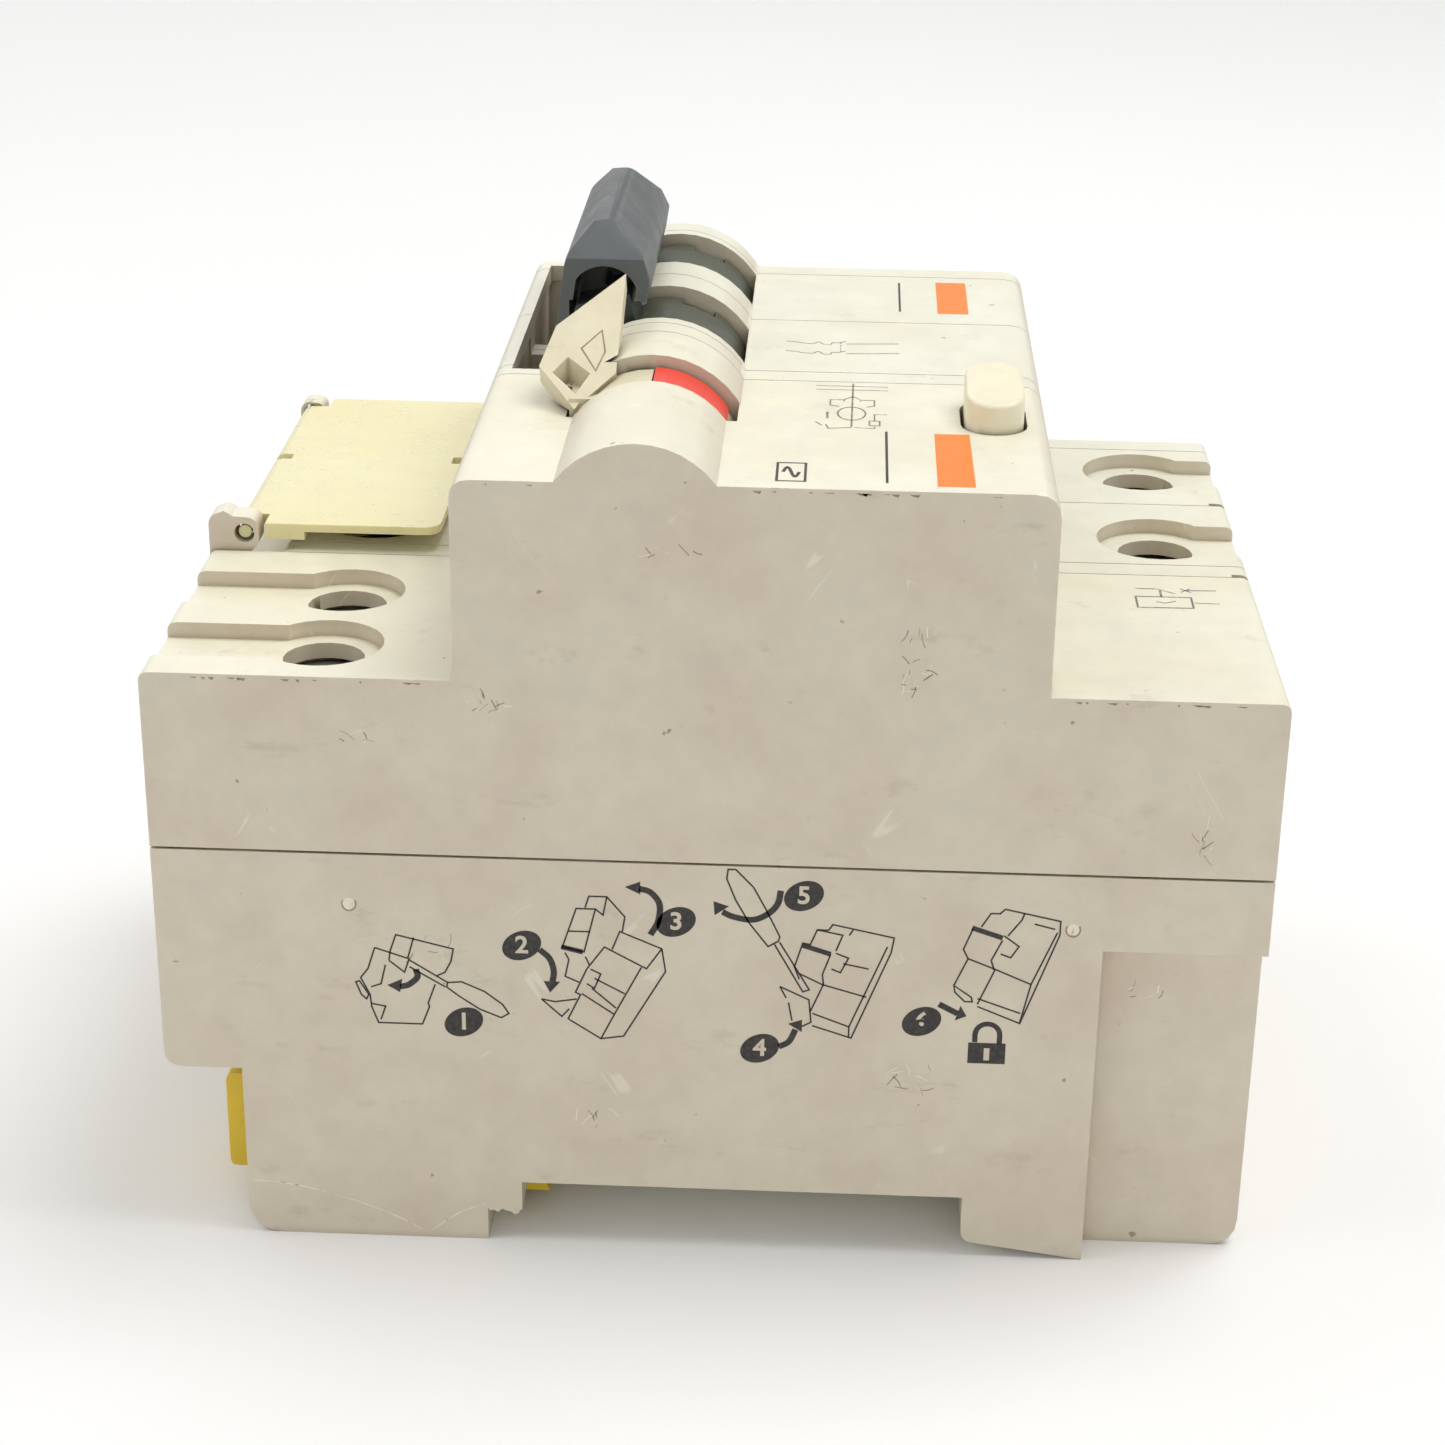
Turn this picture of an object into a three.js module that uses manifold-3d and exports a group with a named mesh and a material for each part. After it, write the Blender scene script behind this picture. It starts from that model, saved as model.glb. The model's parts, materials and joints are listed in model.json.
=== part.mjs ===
// Two-pole circuit breaker with an add-on residual current block, lying on its back.
// The breaker's two poles stand side by side; the residual current block is clipped to the
// first pole and reaches round the load end of the breaker to its terminals.
//
// All coordinates are in millimetres. X runs from the load end to the line end, Y from the
// free side of the residual block across to the second pole, Z from the rail side to the
// front. Inside this file X and Y start at the residual block's own corner; the exported
// group moves everything so that the origin is under the middle of the whole device.
import * as THREE from 'three';
import { mergeVertices } from 'three/addons/utils/BufferGeometryUtils.js';
import Module from 'manifold-3d';

const wasm = await Module();
wasm.setup();

// ---------------------------------------------------------------- driving dimensions
const POLE_WIDTH = 18; // one module of the 18 mm grid
const BLOCK_WIDTH = 27; // the residual block takes one and a half modules
const FULL_WIDTH = BLOCK_WIDTH + 2 * POLE_WIDTH;
const LENGTH = 87; // residual block, load end to line end
const POLE_X0 = 6; // the poles are 81 mm long and end flush with the block at the line end
const LINK_X0 = 0; // outer face of the link housing, flush with the block's end
const NOSE_X0 = 24;
const NOSE_X1 = 69; // the 45 mm front that shows through a distribution board's cover
const RAIL_SEAT = 5.5; // the mounting rail's face
const SHOULDER = 49.5; // 44 mm in front of the rail
const FRONT = 65.5; // 60 mm in front of the rail
const SEAM = 34.8; // parting line of the residual block's cover and base
const RAIL_X0 = 28.6;
const RAIL_X1 = 64.3; // the slot for a 35 mm rail
const LEDGE = 15.3; // underside of the overhang at the load end
const FOOT_X0 = 6.2; // the load-side foot runs from here to the clip's mouth
const MOUTH_X = 25.8;
const MOUTH_Z = 2.9;
const HOOK = { x0: 62.9, z0: 2.2, z1: 4.3 }; // fixed hook behind the rail's far edge
const RECESS = { x: 74.2, top: 28.3, depth: 3 }; // step in the block's side at the line end
const GAP = 0.3; // clearance between neighbouring pieces
const WALL = 1.5;
const POLE_WALL = 1.4;

const AXIS_X = 37.75; // the toggles and the reset lever turn about one line
const AXIS_Z = 61.2;
const DOME_R = 7.4; // dome over the residual block's lever drum
const RIM_R = 8.2; // raised rims beside each drum
const DRUM_R = 7.3;
const TRUNNION_R = 1.6;
const SLOT_WIDTH = 10; // slot of a pole's drum, between two 4 mm rims
const SLOT_X1 = 44.6;
const WELL_X0 = 25.6; // the toggle's well starts here
const FLAG_Y0 = 15.8;
const FLAG_Y1 = 20.2; // window of the residual block's lever drum

const POLE_COVER = 2.6; // thickness of the cover that closes a pole's outer side
const HANDLE_HALF = 4.2; // half the width of a toggle's handle
const CAP_X = 32.8;
const CAP_Y0 = 32.1; // the tie cap starts here
const CAP_END = 3.6; // depth of the solid end of the cap
const LINE_X = LENGTH - 7; // terminal screws stand 7 mm in from the breaker's end faces
const LOAD_X = POLE_X0 + 7;
const BLOCK_TERMINAL_X = 13;
const BLOCK_TERMINAL_Y = [7, 18.5];
const KEYHOLE_DEPTH = 1.3;
const SCREW_HOLE_R = 3.2;
const CAGE_BOTTOM = 27.6;
const CAGE_TOP = 40.4;
const SCREW_TOP = 46.6; // top of a screw's head
const PAD_BOTTOM = 46.9; // underside of the thick shoulder round a screw
const BAR_Z0 = 35;
const BAR_Z1 = 36.4; // top of the terminal bars, where the wires are pressed
const BAR_HALF = 2.7;
const WIRE_R = 1.2;

const CLIP_WIDTH = 12;
const BLOCK_CLIP_Y = 11;
const CLIP_X0 = 3.7;
const SLIDER_Z0 = 1.7;
const SLIDER_Z1 = 4.1;

const TEST_X = 64.6;
const TEST_Y = 18.3;

const FLAP_TOP = 51.8;
const FLAP_THICKNESS = 0.7;
const FLAP_X1 = 19.4;
const HINGE_X = 3; // the flap's hinge line, along its load-side edge
const HINGE_Z = 51;
const BARREL_R = 0.75;
const PIN_R = 0.55;
const LINK_TOP = 46.4; // top of the link housing, below the flap
const EAR_TOP = 52.2;
const EAR_Y1 = 29.6; // inner face of the ear on the block's side
const EAR_WIDTH = 2.4;

// Where a pole starts, and its middle, along Y. Pole 0 is the one beside the residual block.
const poleStart = (index) => BLOCK_WIDTH + POLE_WIDTH * index;
const poleMiddle = (index) => poleStart(index) + POLE_WIDTH / 2;

// ---------------------------------------------------------------- solids
function solidOf(geometry) {
  const plain = geometry.index ? geometry.toNonIndexed() : geometry.clone();
  plain.deleteAttribute('normal');
  plain.deleteAttribute('uv');
  const merged = mergeVertices(plain, 1e-4);
  return new wasm.Manifold(
    new wasm.Mesh({
      numProp: 3,
      vertProperties: new Float32Array(merged.attributes.position.array),
      triVerts: new Uint32Array(merged.index.array),
    }),
  );
}

function box(x0, x1, y0, y1, z0, z1) {
  const geometry = new THREE.BoxGeometry(x1 - x0, y1 - y0, z1 - z0);
  geometry.translate((x0 + x1) / 2, (y0 + y1) / 2, (z0 + z1) / 2);
  return solidOf(geometry);
}

// A cylinder about a line along one of the axes, from `from` to `to` on that axis. `u` and `v`
// are the line's other two coordinates, in X, Y, Z order.
function cylinder(axis, radius, from, to, u, v, sides = 24) {
  const geometry = new THREE.CylinderGeometry(radius, radius, to - from, sides);
  const middle = (from + to) / 2;
  if (axis === 'x') geometry.rotateZ(Math.PI / 2).translate(middle, u, v);
  if (axis === 'y') geometry.translate(u, middle, v);
  if (axis === 'z') geometry.rotateX(Math.PI / 2).translate(u, v, middle);
  return solidOf(geometry);
}

// An outline drawn in X and Z, extruded from y0 to y1. Curved stretches use `segments` steps.
function slab(shape, y0, y1, segments = 6) {
  const geometry = new THREE.ExtrudeGeometry(shape, {
    depth: y1 - y0,
    bevelEnabled: false,
    curveSegments: segments,
  });
  geometry.rotateX(Math.PI / 2).translate(0, y1, 0);
  return solidOf(geometry);
}

// An outline drawn in X and Y, extruded from z0 to z1.
function plate(shape, z0, z1) {
  const geometry = new THREE.ExtrudeGeometry(shape, {
    depth: z1 - z0,
    bevelEnabled: false,
    curveSegments: 5,
  });
  geometry.translate(0, 0, z0);
  return solidOf(geometry);
}

// A closed outline through corners [x, z, radius]; a radius rounds that corner.
function outline(corners) {
  const shape = new THREE.Shape();
  const count = corners.length;
  corners.forEach(([x, z, radius = 0], i) => {
    const [px, pz] = corners[(i + count - 1) % count];
    const [nx, nz] = corners[(i + 1) % count];
    const back = Math.hypot(px - x, pz - z);
    const ahead = Math.hypot(nx - x, nz - z);
    const inX = x + ((px - x) / back) * radius;
    const inZ = z + ((pz - z) / back) * radius;
    if (i === 0) shape.moveTo(inX, inZ);
    else shape.lineTo(inX, inZ);
    if (radius > 0)
      shape.quadraticCurveTo(x, z, x + ((nx - x) / ahead) * radius, z + ((nz - z) / ahead) * radius);
  });
  shape.closePath();
  return shape;
}

// A rod or bar: a section swept along a curve through the points.
function swept(section, points, steps, tension = 0.35) {
  const path = new THREE.CatmullRomCurve3(
    points.map((p) => new THREE.Vector3(...p)),
    false,
    'catmullrom',
    tension,
  );
  return solidOf(
    new THREE.ExtrudeGeometry(section, { steps, bevelEnabled: false, extrudePath: path }),
  );
}

const round = (radius, sides) => {
  const shape = new THREE.Shape();
  for (let i = 0; i < sides; i++) {
    const a = (i / sides) * Math.PI * 2;
    const x = radius * Math.cos(a);
    const y = radius * Math.sin(a);
    if (i === 0) shape.moveTo(x, y);
    else shape.lineTo(x, y);
  }
  shape.closePath();
  return shape;
};

const join = (...solids) => solids.reduce((a, b) => a.add(b));
const cut = (solid, ...tools) => tools.reduce((a, b) => a.subtract(b), solid);

// A point on a circle about the toggle axis, at an angle from straight up, positive to the line end.
const onAxis = (radius, degrees) => {
  const a = THREE.MathUtils.degToRad(degrees);
  return [AXIS_X + radius * Math.sin(a), AXIS_Z + radius * Math.cos(a)];
};

const domeCylinder = (radius, y0, y1) => cylinder('y', radius, y0, y1, AXIS_X, AXIS_Z, 40);

// ---------------------------------------------------------------- materials
const plastic = (color, roughness = 0.5) =>
  new THREE.MeshStandardMaterial({ color, roughness, metalness: 0 });
const metal = (color, roughness = 0.35) =>
  new THREE.MeshStandardMaterial({ color, roughness, metalness: 1 });
const finishes = {
  cream: () => plastic(0xe9e4cf),
  aged: () => plastic(0xe6db9e),
  yellow: () => plastic(0xd8b62a),
  charcoal: () => plastic(0x585d60),
  drumGrey: () => plastic(0x87908a),
  red: () => plastic(0xd8372b),
  button: () => plastic(0xf1ead0, 0.4),
  board: () => plastic(0x2f5a3a),
  black: () => plastic(0x2b2b2c),
  steel: () => metal(0xa9a9a4),
  copper: () => metal(0xb5703f),
  core: () => plastic(0x4a4c50, 0.6),
};

const group = new THREE.Group();
group.position.set(-(LINK_X0 + LENGTH) / 2, -FULL_WIDTH / 2, 0);

function place(name, solid, finish) {
  const made = solid.getMesh();
  const stride = made.numProp;
  const positions = new Float32Array((made.vertProperties.length / stride) * 3);
  for (let i = 0; i < positions.length / 3; i++)
    for (let k = 0; k < 3; k++) positions[i * 3 + k] = made.vertProperties[i * stride + k];
  const geometry = new THREE.BufferGeometry();
  geometry.setAttribute('position', new THREE.BufferAttribute(positions, 3));
  geometry.setIndex(new THREE.BufferAttribute(new Uint32Array(made.triVerts), 1));
  geometry.computeVertexNormals();
  const mesh = new THREE.Mesh(geometry, finishes[finish]());
  mesh.name = name;
  group.add(mesh);
}

// ---------------------------------------------------------------- shared shapes
// Keyhole recess in a shoulder: a round pocket over the screw with a channel to the end face.
function keyhole(x, y, endX, radius, channel) {
  const z0 = SHOULDER - KEYHOLE_DEPTH;
  const z1 = SHOULDER + 1;
  const ends = [x, endX].sort((a, b) => a - b);
  return join(
    cylinder('z', radius, z0, z1, x, y, 28),
    box(ends[0], ends[1], y - channel, y + channel, z0, z1),
    cylinder('z', SCREW_HOLE_R, 44, z1, x, y, 20),
  );
}

// A tunnel clamp: a bent steel box with a window along X and a threaded top.
function clampCage(x, y) {
  return cut(
    box(x - 4.6, x + 4.6, y - 4.3, y + 4.3, CAGE_BOTTOM, CAGE_TOP),
    box(x - 6, x + 6, y - 3.3, y + 3.3, CAGE_BOTTOM + 1.2, CAGE_TOP - 2),
    cylinder('z', 2.35, CAGE_TOP - 3, CAGE_TOP + 1, x, y, 14),
  );
}

// A captive clamp screw with a cross recess that also takes a flat blade.
function clampScrew(x, y) {
  return cut(
    join(cylinder('z', 3.5, 44.6, SCREW_TOP, x, y, 18), cylinder('z', 2, BAR_Z1 + 0.3, 45, x, y, 12)),
    box(x - 3, x + 3, y - 0.45, y + 0.45, SCREW_TOP - 1.1, SCREW_TOP + 1),
    box(x - 0.45, x + 0.45, y - 1.7, y + 1.7, SCREW_TOP - 1.1, SCREW_TOP + 1),
  );
}

// The rail clip slides in a foot. Its nose holds the rail's edge; its tab takes a screwdriver.
function railClip(y) {
  const y0 = y - CLIP_WIDTH / 2;
  const y1 = y + CLIP_WIDTH / 2;
  const body = outline([
    [CLIP_X0, 3.1, 0.6],
    [CLIP_X0 + 2, 3.1],
    [CLIP_X0 + 2, SLIDER_Z0],
    [RAIL_X0 + 1.8, SLIDER_Z0],
    [RAIL_X0 + 0.4, SLIDER_Z1],
    [CLIP_X0 + 2.3, SLIDER_Z1],
    [CLIP_X0 + 2, 11.9, 0.8],
    [CLIP_X0, 11.9, 0.8],
  ]);
  return cut(slab(body, y0, y1, 3), box(3, 7, y - 2.2, y + 2.2, 7, 8.6));
}

const clipChannel = (y) =>
  box(0, RAIL_X0 + 1, y - CLIP_WIDTH / 2 - GAP, y + CLIP_WIDTH / 2 + GAP, SLIDER_Z0 - GAP, SLIDER_Z1 + GAP);

// ---------------------------------------------------------------- residual block housing
const RIM_FOOT = Math.sqrt(RIM_R ** 2 - (FRONT - AXIS_Z) ** 2);

// Upper outline: shoulders and nose, drawn inset by `t` from the outside.
const upperOutline = (x0, z0, t) =>
  outline([
    [x0 + t, z0],
    [LENGTH - t, z0],
    [LENGTH - t, SHOULDER - t, t ? 0 : 0.8],
    [NOSE_X1 - t, SHOULDER - t],
    [NOSE_X1 - t, FRONT - t, t ? 0.6 : 2],
    [NOSE_X0 + t, FRONT - t, t ? 0.6 : 1.6],
    [NOSE_X0 + t, SHOULDER - t],
    [x0 + t, SHOULDER - t, t ? 0 : 0.8],
  ]);

// The shoulders over the terminals are thick enough to hold the keyhole recess.
const shoulderPads = (x0, x1, y0, y1) =>
  join(
    box(x0, NOSE_X0 + WALL, y0, y1, PAD_BOTTOM, SHOULDER - 0.5),
    box(NOSE_X1 - WALL, x1, y0, y1, PAD_BOTTOM, SHOULDER - 0.5),
  );

function blockCover() {
  const z0 = SEAM + GAP / 2;
  const y1 = BLOCK_WIDTH - GAP / 2;
  const shell = cut(
    slab(upperOutline(0, z0, 0), 0, y1, 4),
    slab(upperOutline(0, z0 - 1, WALL), WALL, y1 - WALL, 2),
  );
  const dome = cut(
    join(domeCylinder(DOME_R, 0, FLAG_Y1), domeCylinder(RIM_R, FLAG_Y1, y1)),
    domeCylinder(DOME_R - WALL, WALL, y1 - WALL),
    box(20, 55, -1, BLOCK_WIDTH + 1, 50, FRONT - 1),
    box(AXIS_X - 5, AXIS_X + 5, WALL, FLAG_Y1, FRONT - 2, FRONT + 0.5),
  );
  const cheeks = cut(
    join(
      box(AXIS_X - 4, AXIS_X + 4, 13.3, 15.2, AXIS_Z - 5, FRONT - 0.5),
      box(AXIS_X - 4, AXIS_X + 4, 20.9, 22.8, AXIS_Z - 5, FRONT - 0.5),
    ),
    cylinder('y', TRUNNION_R + GAP, 10, 25, AXIS_X, AXIS_Z, 20),
  );
  const window = join(
    domeCylinder(DRUM_R + GAP, FLAG_Y0, FLAG_Y1),
    box(31.2, SLOT_X1, FLAG_Y0, FLAG_Y1, AXIS_Z - 6, AXIS_Z + 12),
  );
  return cut(
    join(cut(join(shell, shoulderPads(1, LENGTH - 1, 1, y1 - 1)), window), cut(dome, window), cheeks),
    ...BLOCK_TERMINAL_Y.map((y) => keyhole(BLOCK_TERMINAL_X, y, -1, 4.75, 3.4)),
    ...BLOCK_TERMINAL_Y.map((y) => wireEntry(-1, 3, y)),
    testHole(),
  );
}

const stadium = (halfX, halfY, x, y, z0, z1) =>
  join(
    box(x - halfX, x + halfX, y - halfY + halfX, y + halfY - halfX, z0, z1),
    cylinder('z', halfX, z0, z1, x, y - halfY + halfX, 20),
    cylinder('z', halfX, z0, z1, x, y + halfY - halfX, 20),
  );

const testHole = () => stadium(2.6, 4.5, TEST_X, TEST_Y, FRONT - 4, FRONT + 1);

function wireEntry(x0, x1, y) {
  return box(x0, x1, y - 3.6, y + 3.6, CAGE_BOTTOM + 1, BAR_Z0 + 0.4);
}

// Lower outline: an overhang at the load end, two feet and the rail slot between them.
const lowerOutline = (top, t) =>
  outline([
    [t, top],
    [t, LEDGE + t, t ? 0 : 1.5],
    [FOOT_X0 + t, LEDGE + t],
    [FOOT_X0 + t, t, t ? 0 : 2.8],
    [MOUTH_X - t, t],
    [MOUTH_X - t, MOUTH_Z + t],
    [RAIL_X0 - t, MOUTH_Z + t],
    [RAIL_X0 - t, RAIL_SEAT + t],
    [RAIL_X1 + t, RAIL_SEAT + t],
    [RAIL_X1 + t, 1.4 + t, t ? 0 : 1],
    [RECESS.x, t],
    [LENGTH - t, t, t ? 0 : 2.5],
    [LENGTH - t, top],
  ]);

function blockBase() {
  const top = SEAM - GAP / 2;
  const y1 = BLOCK_WIDTH - GAP / 2;
  const body = cut(
    slab(lowerOutline(top, 0), 0, y1, 4),
    box(RECESS.x, LENGTH + 3, -1, RECESS.depth, -1, RECESS.top),
  );
  const inside = cut(
    slab(lowerOutline(top + 1, WALL), WALL, y1 - WALL, 2),
    box(RECESS.x - WALL, LENGTH + 3, 0, RECESS.depth + WALL, -1, RECESS.top + WALL),
    box(0, 30, 0, BLOCK_WIDTH, -1, SLIDER_Z1 + GAP + WALL),
  );
  return cut(
    join(cut(body, inside), linkHousing()),
    box(1.6, 5.2, y1 - WALL - 1, BLOCK_WIDTH + GAP + 2, 20, 33),
    clipChannel(BLOCK_CLIP_Y),
    ...BLOCK_TERMINAL_Y.map((y) => wireEntry(-1, 3, y)),
  );
}

// The link housing wraps round the breaker's load end and carries the flap's hinge.
function linkHousing() {
  const y0 = BLOCK_WIDTH - 0.5;
  const y1 = FULL_WIDTH;
  const x1 = POLE_X0 - GAP;
  const shell = cut(
    slab(
      outline([
        [LINK_X0, LEDGE, 1.5],
        [x1, LEDGE],
        [x1, LINK_TOP],
        [LINK_X0, LINK_TOP, 1],
      ]),
      BLOCK_WIDTH + GAP / 2,
      y1,
      4,
    ),
    box(LINK_X0 + WALL, x1 + 1, BLOCK_WIDTH + WALL, y1 - WALL, LEDGE + WALL, LINK_TOP - WALL),
  );
  const web = box(0.2, x1, y0 - 1, BLOCK_WIDTH + GAP, 16, SEAM - GAP / 2);
  const ear = (corners, from, to) =>
    cut(
      slab(outline(corners), from, to, 4),
      cylinder('y', PIN_R + GAP, from - 1, to + 1, HINGE_X, HINGE_Z, 20),
    );
  const headX1 = HINGE_X + 1.2;
  const horned = [
    [LINK_X0, LINK_TOP - 1],
    [2.6, LINK_TOP - 1],
    [2.6, 48.6],
    [headX1, 50, 0.6],
    [headX1, EAR_TOP + 0.2, 1.1],
    [2.1, EAR_TOP + 0.25],
    [1.5, EAR_TOP + 0.7, 0.4],
    [LINK_X0, EAR_TOP + 0.3, 0.9],
  ];
  const plain = [
    [HINGE_X - 1.1, LINK_TOP - 1],
    [headX1, LINK_TOP - 1],
    [headX1, EAR_TOP - 0.15, 1],
    [HINGE_X - 1.1, EAR_TOP - 0.15, 1],
  ];
  return join(
    shell,
    web,
    ear(horned, BLOCK_WIDTH + GAP / 2, EAR_Y1),
    ear(plain, y1 - EAR_WIDTH, y1),
  );
}

// Flap over the breaker's load screws, with a hinge barrel along its edge and a pin at each end.
function terminalFlap() {
  const y0 = BLOCK_WIDTH + 0.5;
  const y1 = FULL_WIDTH - GAP;
  const inY0 = EAR_Y1 + GAP;
  const inY1 = FULL_WIDTH - EAR_WIDTH - GAP;
  const z0 = FLAP_TOP - FLAP_THICKNESS;
  const besideEar = HINGE_X + 1.7;
  const sheet = plate(
    outline([
      [besideEar, y0],
      [FLAP_X1, y0, 1.6],
      [FLAP_X1, y1, 0.8],
      [besideEar, y1, 0.5],
      [besideEar, inY1],
      [HINGE_X, inY1],
      [HINGE_X, inY0],
      [besideEar, inY0],
    ]),
    z0,
    FLAP_TOP,
  );
  const rib = slab(
    outline([
      [HINGE_X, 50.3],
      [HINGE_X + 0.6, 50.3],
      [HINGE_X + 1.5, z0 + 0.1],
      [HINGE_X, z0 + 0.1],
    ]),
    inY0,
    inY1,
  );
  const barrel = cylinder('y', BARREL_R, inY0, inY1, HINGE_X, HINGE_Z, 20);
  const pins = cylinder('y', PIN_R, y0 + 0.1, y1 - 0.2, HINGE_X, HINGE_Z, 16);
  const tab = box(besideEar, 8, y0, y0 + 1.2, z0 - 0.7, z0 + 0.1);
  const edgeNotch = box(HINGE_X - 1, HINGE_X + 0.9, 44.6, 46, 50, FLAP_TOP + 1);
  const freeNotch = box(FLAP_X1 - 1.2, FLAP_X1 + 1, 44.4, 46.2, 50, FLAP_TOP + 1);
  return cut(join(sheet, rib, barrel, pins, tab), edgeNotch, freeNotch);
}

// ---------------------------------------------------------------- residual block mechanism
// The lever's drum turns in the window; its kite-shaped thumb piece reaches over to the toggle.
function resetLever() {
  const y0 = FLAG_Y0 + GAP;
  const y1 = FLAG_Y1 - GAP;
  const drum = cylinder('y', DRUM_R - 0.2, y0, y1, AXIS_X, AXIS_Z, 40);
  const trunnions = cylinder('y', TRUNNION_R, 12.6, 23.4, AXIS_X, AXIS_Z, 16);
  const slope = THREE.MathUtils.degToRad(30);
  const foot = { y: 16.1, z: 66.6 }; // where the thumb piece's underside starts to rise
  const depth = 1.9;
  const kite = new THREE.Shape();
  [
    [31.9, 15.5],
    [34.9, 18.9],
    [35, 28.4],
    [29.8, 23.2],
    [28.8, 19.4],
  ].forEach(([x, y], i) => {
    const along = (y - foot.y) / Math.cos(slope);
    if (i === 0) kite.moveTo(x, along);
    else kite.lineTo(x, along);
  });
  kite.closePath();
  const geometry = new THREE.ExtrudeGeometry(kite, { depth, bevelEnabled: false });
  geometry.translate(0, 0, -depth).rotateX(slope).translate(0, foot.y, foot.z);
  const [armX, armZ] = onAxis(5, -38);
  const arm = cut(
    box(armX - 3.2, armX + 1.4, y0, y1, armZ - 1, 68.6),
    box(20, 40, 10, 30, 66.9, 80),
  );
  const socket = plate(
    outline([
      [29.9, 18.8],
      [31.9, 16.9],
      [32.9, 18.8],
      [31, 20.3],
    ]),
    66.6,
    75,
  );
  const thumbPiece = cut(
    solidOf(geometry),
    socket,
    domeCylinder(RIM_R + GAP, y1, BLOCK_WIDTH + 4),
    domeCylinder(DOME_R + GAP, 10, y0),
    box(20, 31.6, 10, 30, 60, FRONT + GAP),
  );
  return cut(join(drum, trunnions, arm, thumbPiece), flagSector(0.15));
}

// The fault flag is a curved insert in the drum that shows in the window after a residual trip.
function flagSector(margin) {
  const sector = new THREE.Shape();
  const r0 = DRUM_R - 1.2 - margin;
  const r1 = DRUM_R + margin * 3;
  const steps = 8;
  const from = 2 - margin * 8;
  const to = 56 + margin * 8;
  for (let i = 0; i <= steps; i++) {
    const [x, z] = onAxis(r1, from + ((to - from) * i) / steps);
    if (i === 0) sector.moveTo(x, z);
    else sector.lineTo(x, z);
  }
  for (let i = steps; i >= 0; i--) sector.lineTo(...onAxis(r0, from + ((to - from) * i) / steps));
  sector.closePath();
  return slab(sector, FLAG_Y0 + GAP - margin, FLAG_Y1 - GAP + margin);
}

function testButton() {
  const stem = stadium(2.3, 4.2, TEST_X, TEST_Y, FRONT - 5, FRONT + 4);
  const guide = box(TEST_X - 1, TEST_X + 1, TEST_Y - 1, TEST_Y + 1, 52.2, FRONT - 4);
  const flange = box(TEST_X - 2.7, TEST_X + 2.7, TEST_Y - 4.9, TEST_Y + 4.9, FRONT - 5.5, FRONT - 4.2);
  const slant = slopeCut(TEST_X, TEST_Y - 4.5, TEST_Y + 4.5, FRONT + 2.2, FRONT + 3.5);
  return cut(join(stem, guide, flange), slant);
}

// Everything above a plane that rises along Y from z0 at y0 to z1 at y1.
function slopeCut(x, y0, y1, z0, z1) {
  const side = new THREE.Shape();
  side.moveTo(y0, z0);
  side.lineTo(y1, z1);
  side.lineTo(y1, z1 + 6);
  side.lineTo(y0, z1 + 6);
  side.closePath();
  const geometry = new THREE.ExtrudeGeometry(side, { depth: 12, bevelEnabled: false });
  geometry.rotateX(Math.PI / 2).rotateZ(Math.PI / 2).translate(x - 6, 0, 0);
  return solidOf(geometry);
}

// Return spring under the test button, round its guide stem.
function testSpring() {
  const turns = 4;
  const perTurn = 9;
  const points = [];
  for (let i = 0; i <= turns * perTurn; i++) {
    const a = (i / perTurn) * Math.PI * 2;
    points.push([
      TEST_X + 2 * Math.cos(a),
      TEST_Y + 2 * Math.sin(a),
      50.6 + (i / (turns * perTurn)) * 8.4,
    ]);
  }
  return swept(round(0.3, 5), points, turns * perTurn, 0.5);
}

const TOROID = { x: 34, y: 13.4, z: 19.6 };

function toroidRing(radius, bore, half, sides = 30) {
  return cut(
    cylinder('x', radius, TOROID.x - half, TOROID.x + half, TOROID.y, TOROID.z, sides),
    cylinder('x', bore, TOROID.x - half - 1, TOROID.x + half + 1, TOROID.y, TOROID.z, sides),
  );
}

// The winding is a sleeve round the core, open on one side.
function toroidWinding() {
  const shell = cut(toroidRing(10.4, 5.2, 4.4), toroidRing(9.6 + GAP / 2, 6 - GAP / 2, 3.6 + GAP / 2));
  return cut(shell, box(TOROID.x - 6, TOROID.x + 6, TOROID.y - 3.5, TOROID.y + 3.5, TOROID.z - 12, TOROID.z));
}

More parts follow.
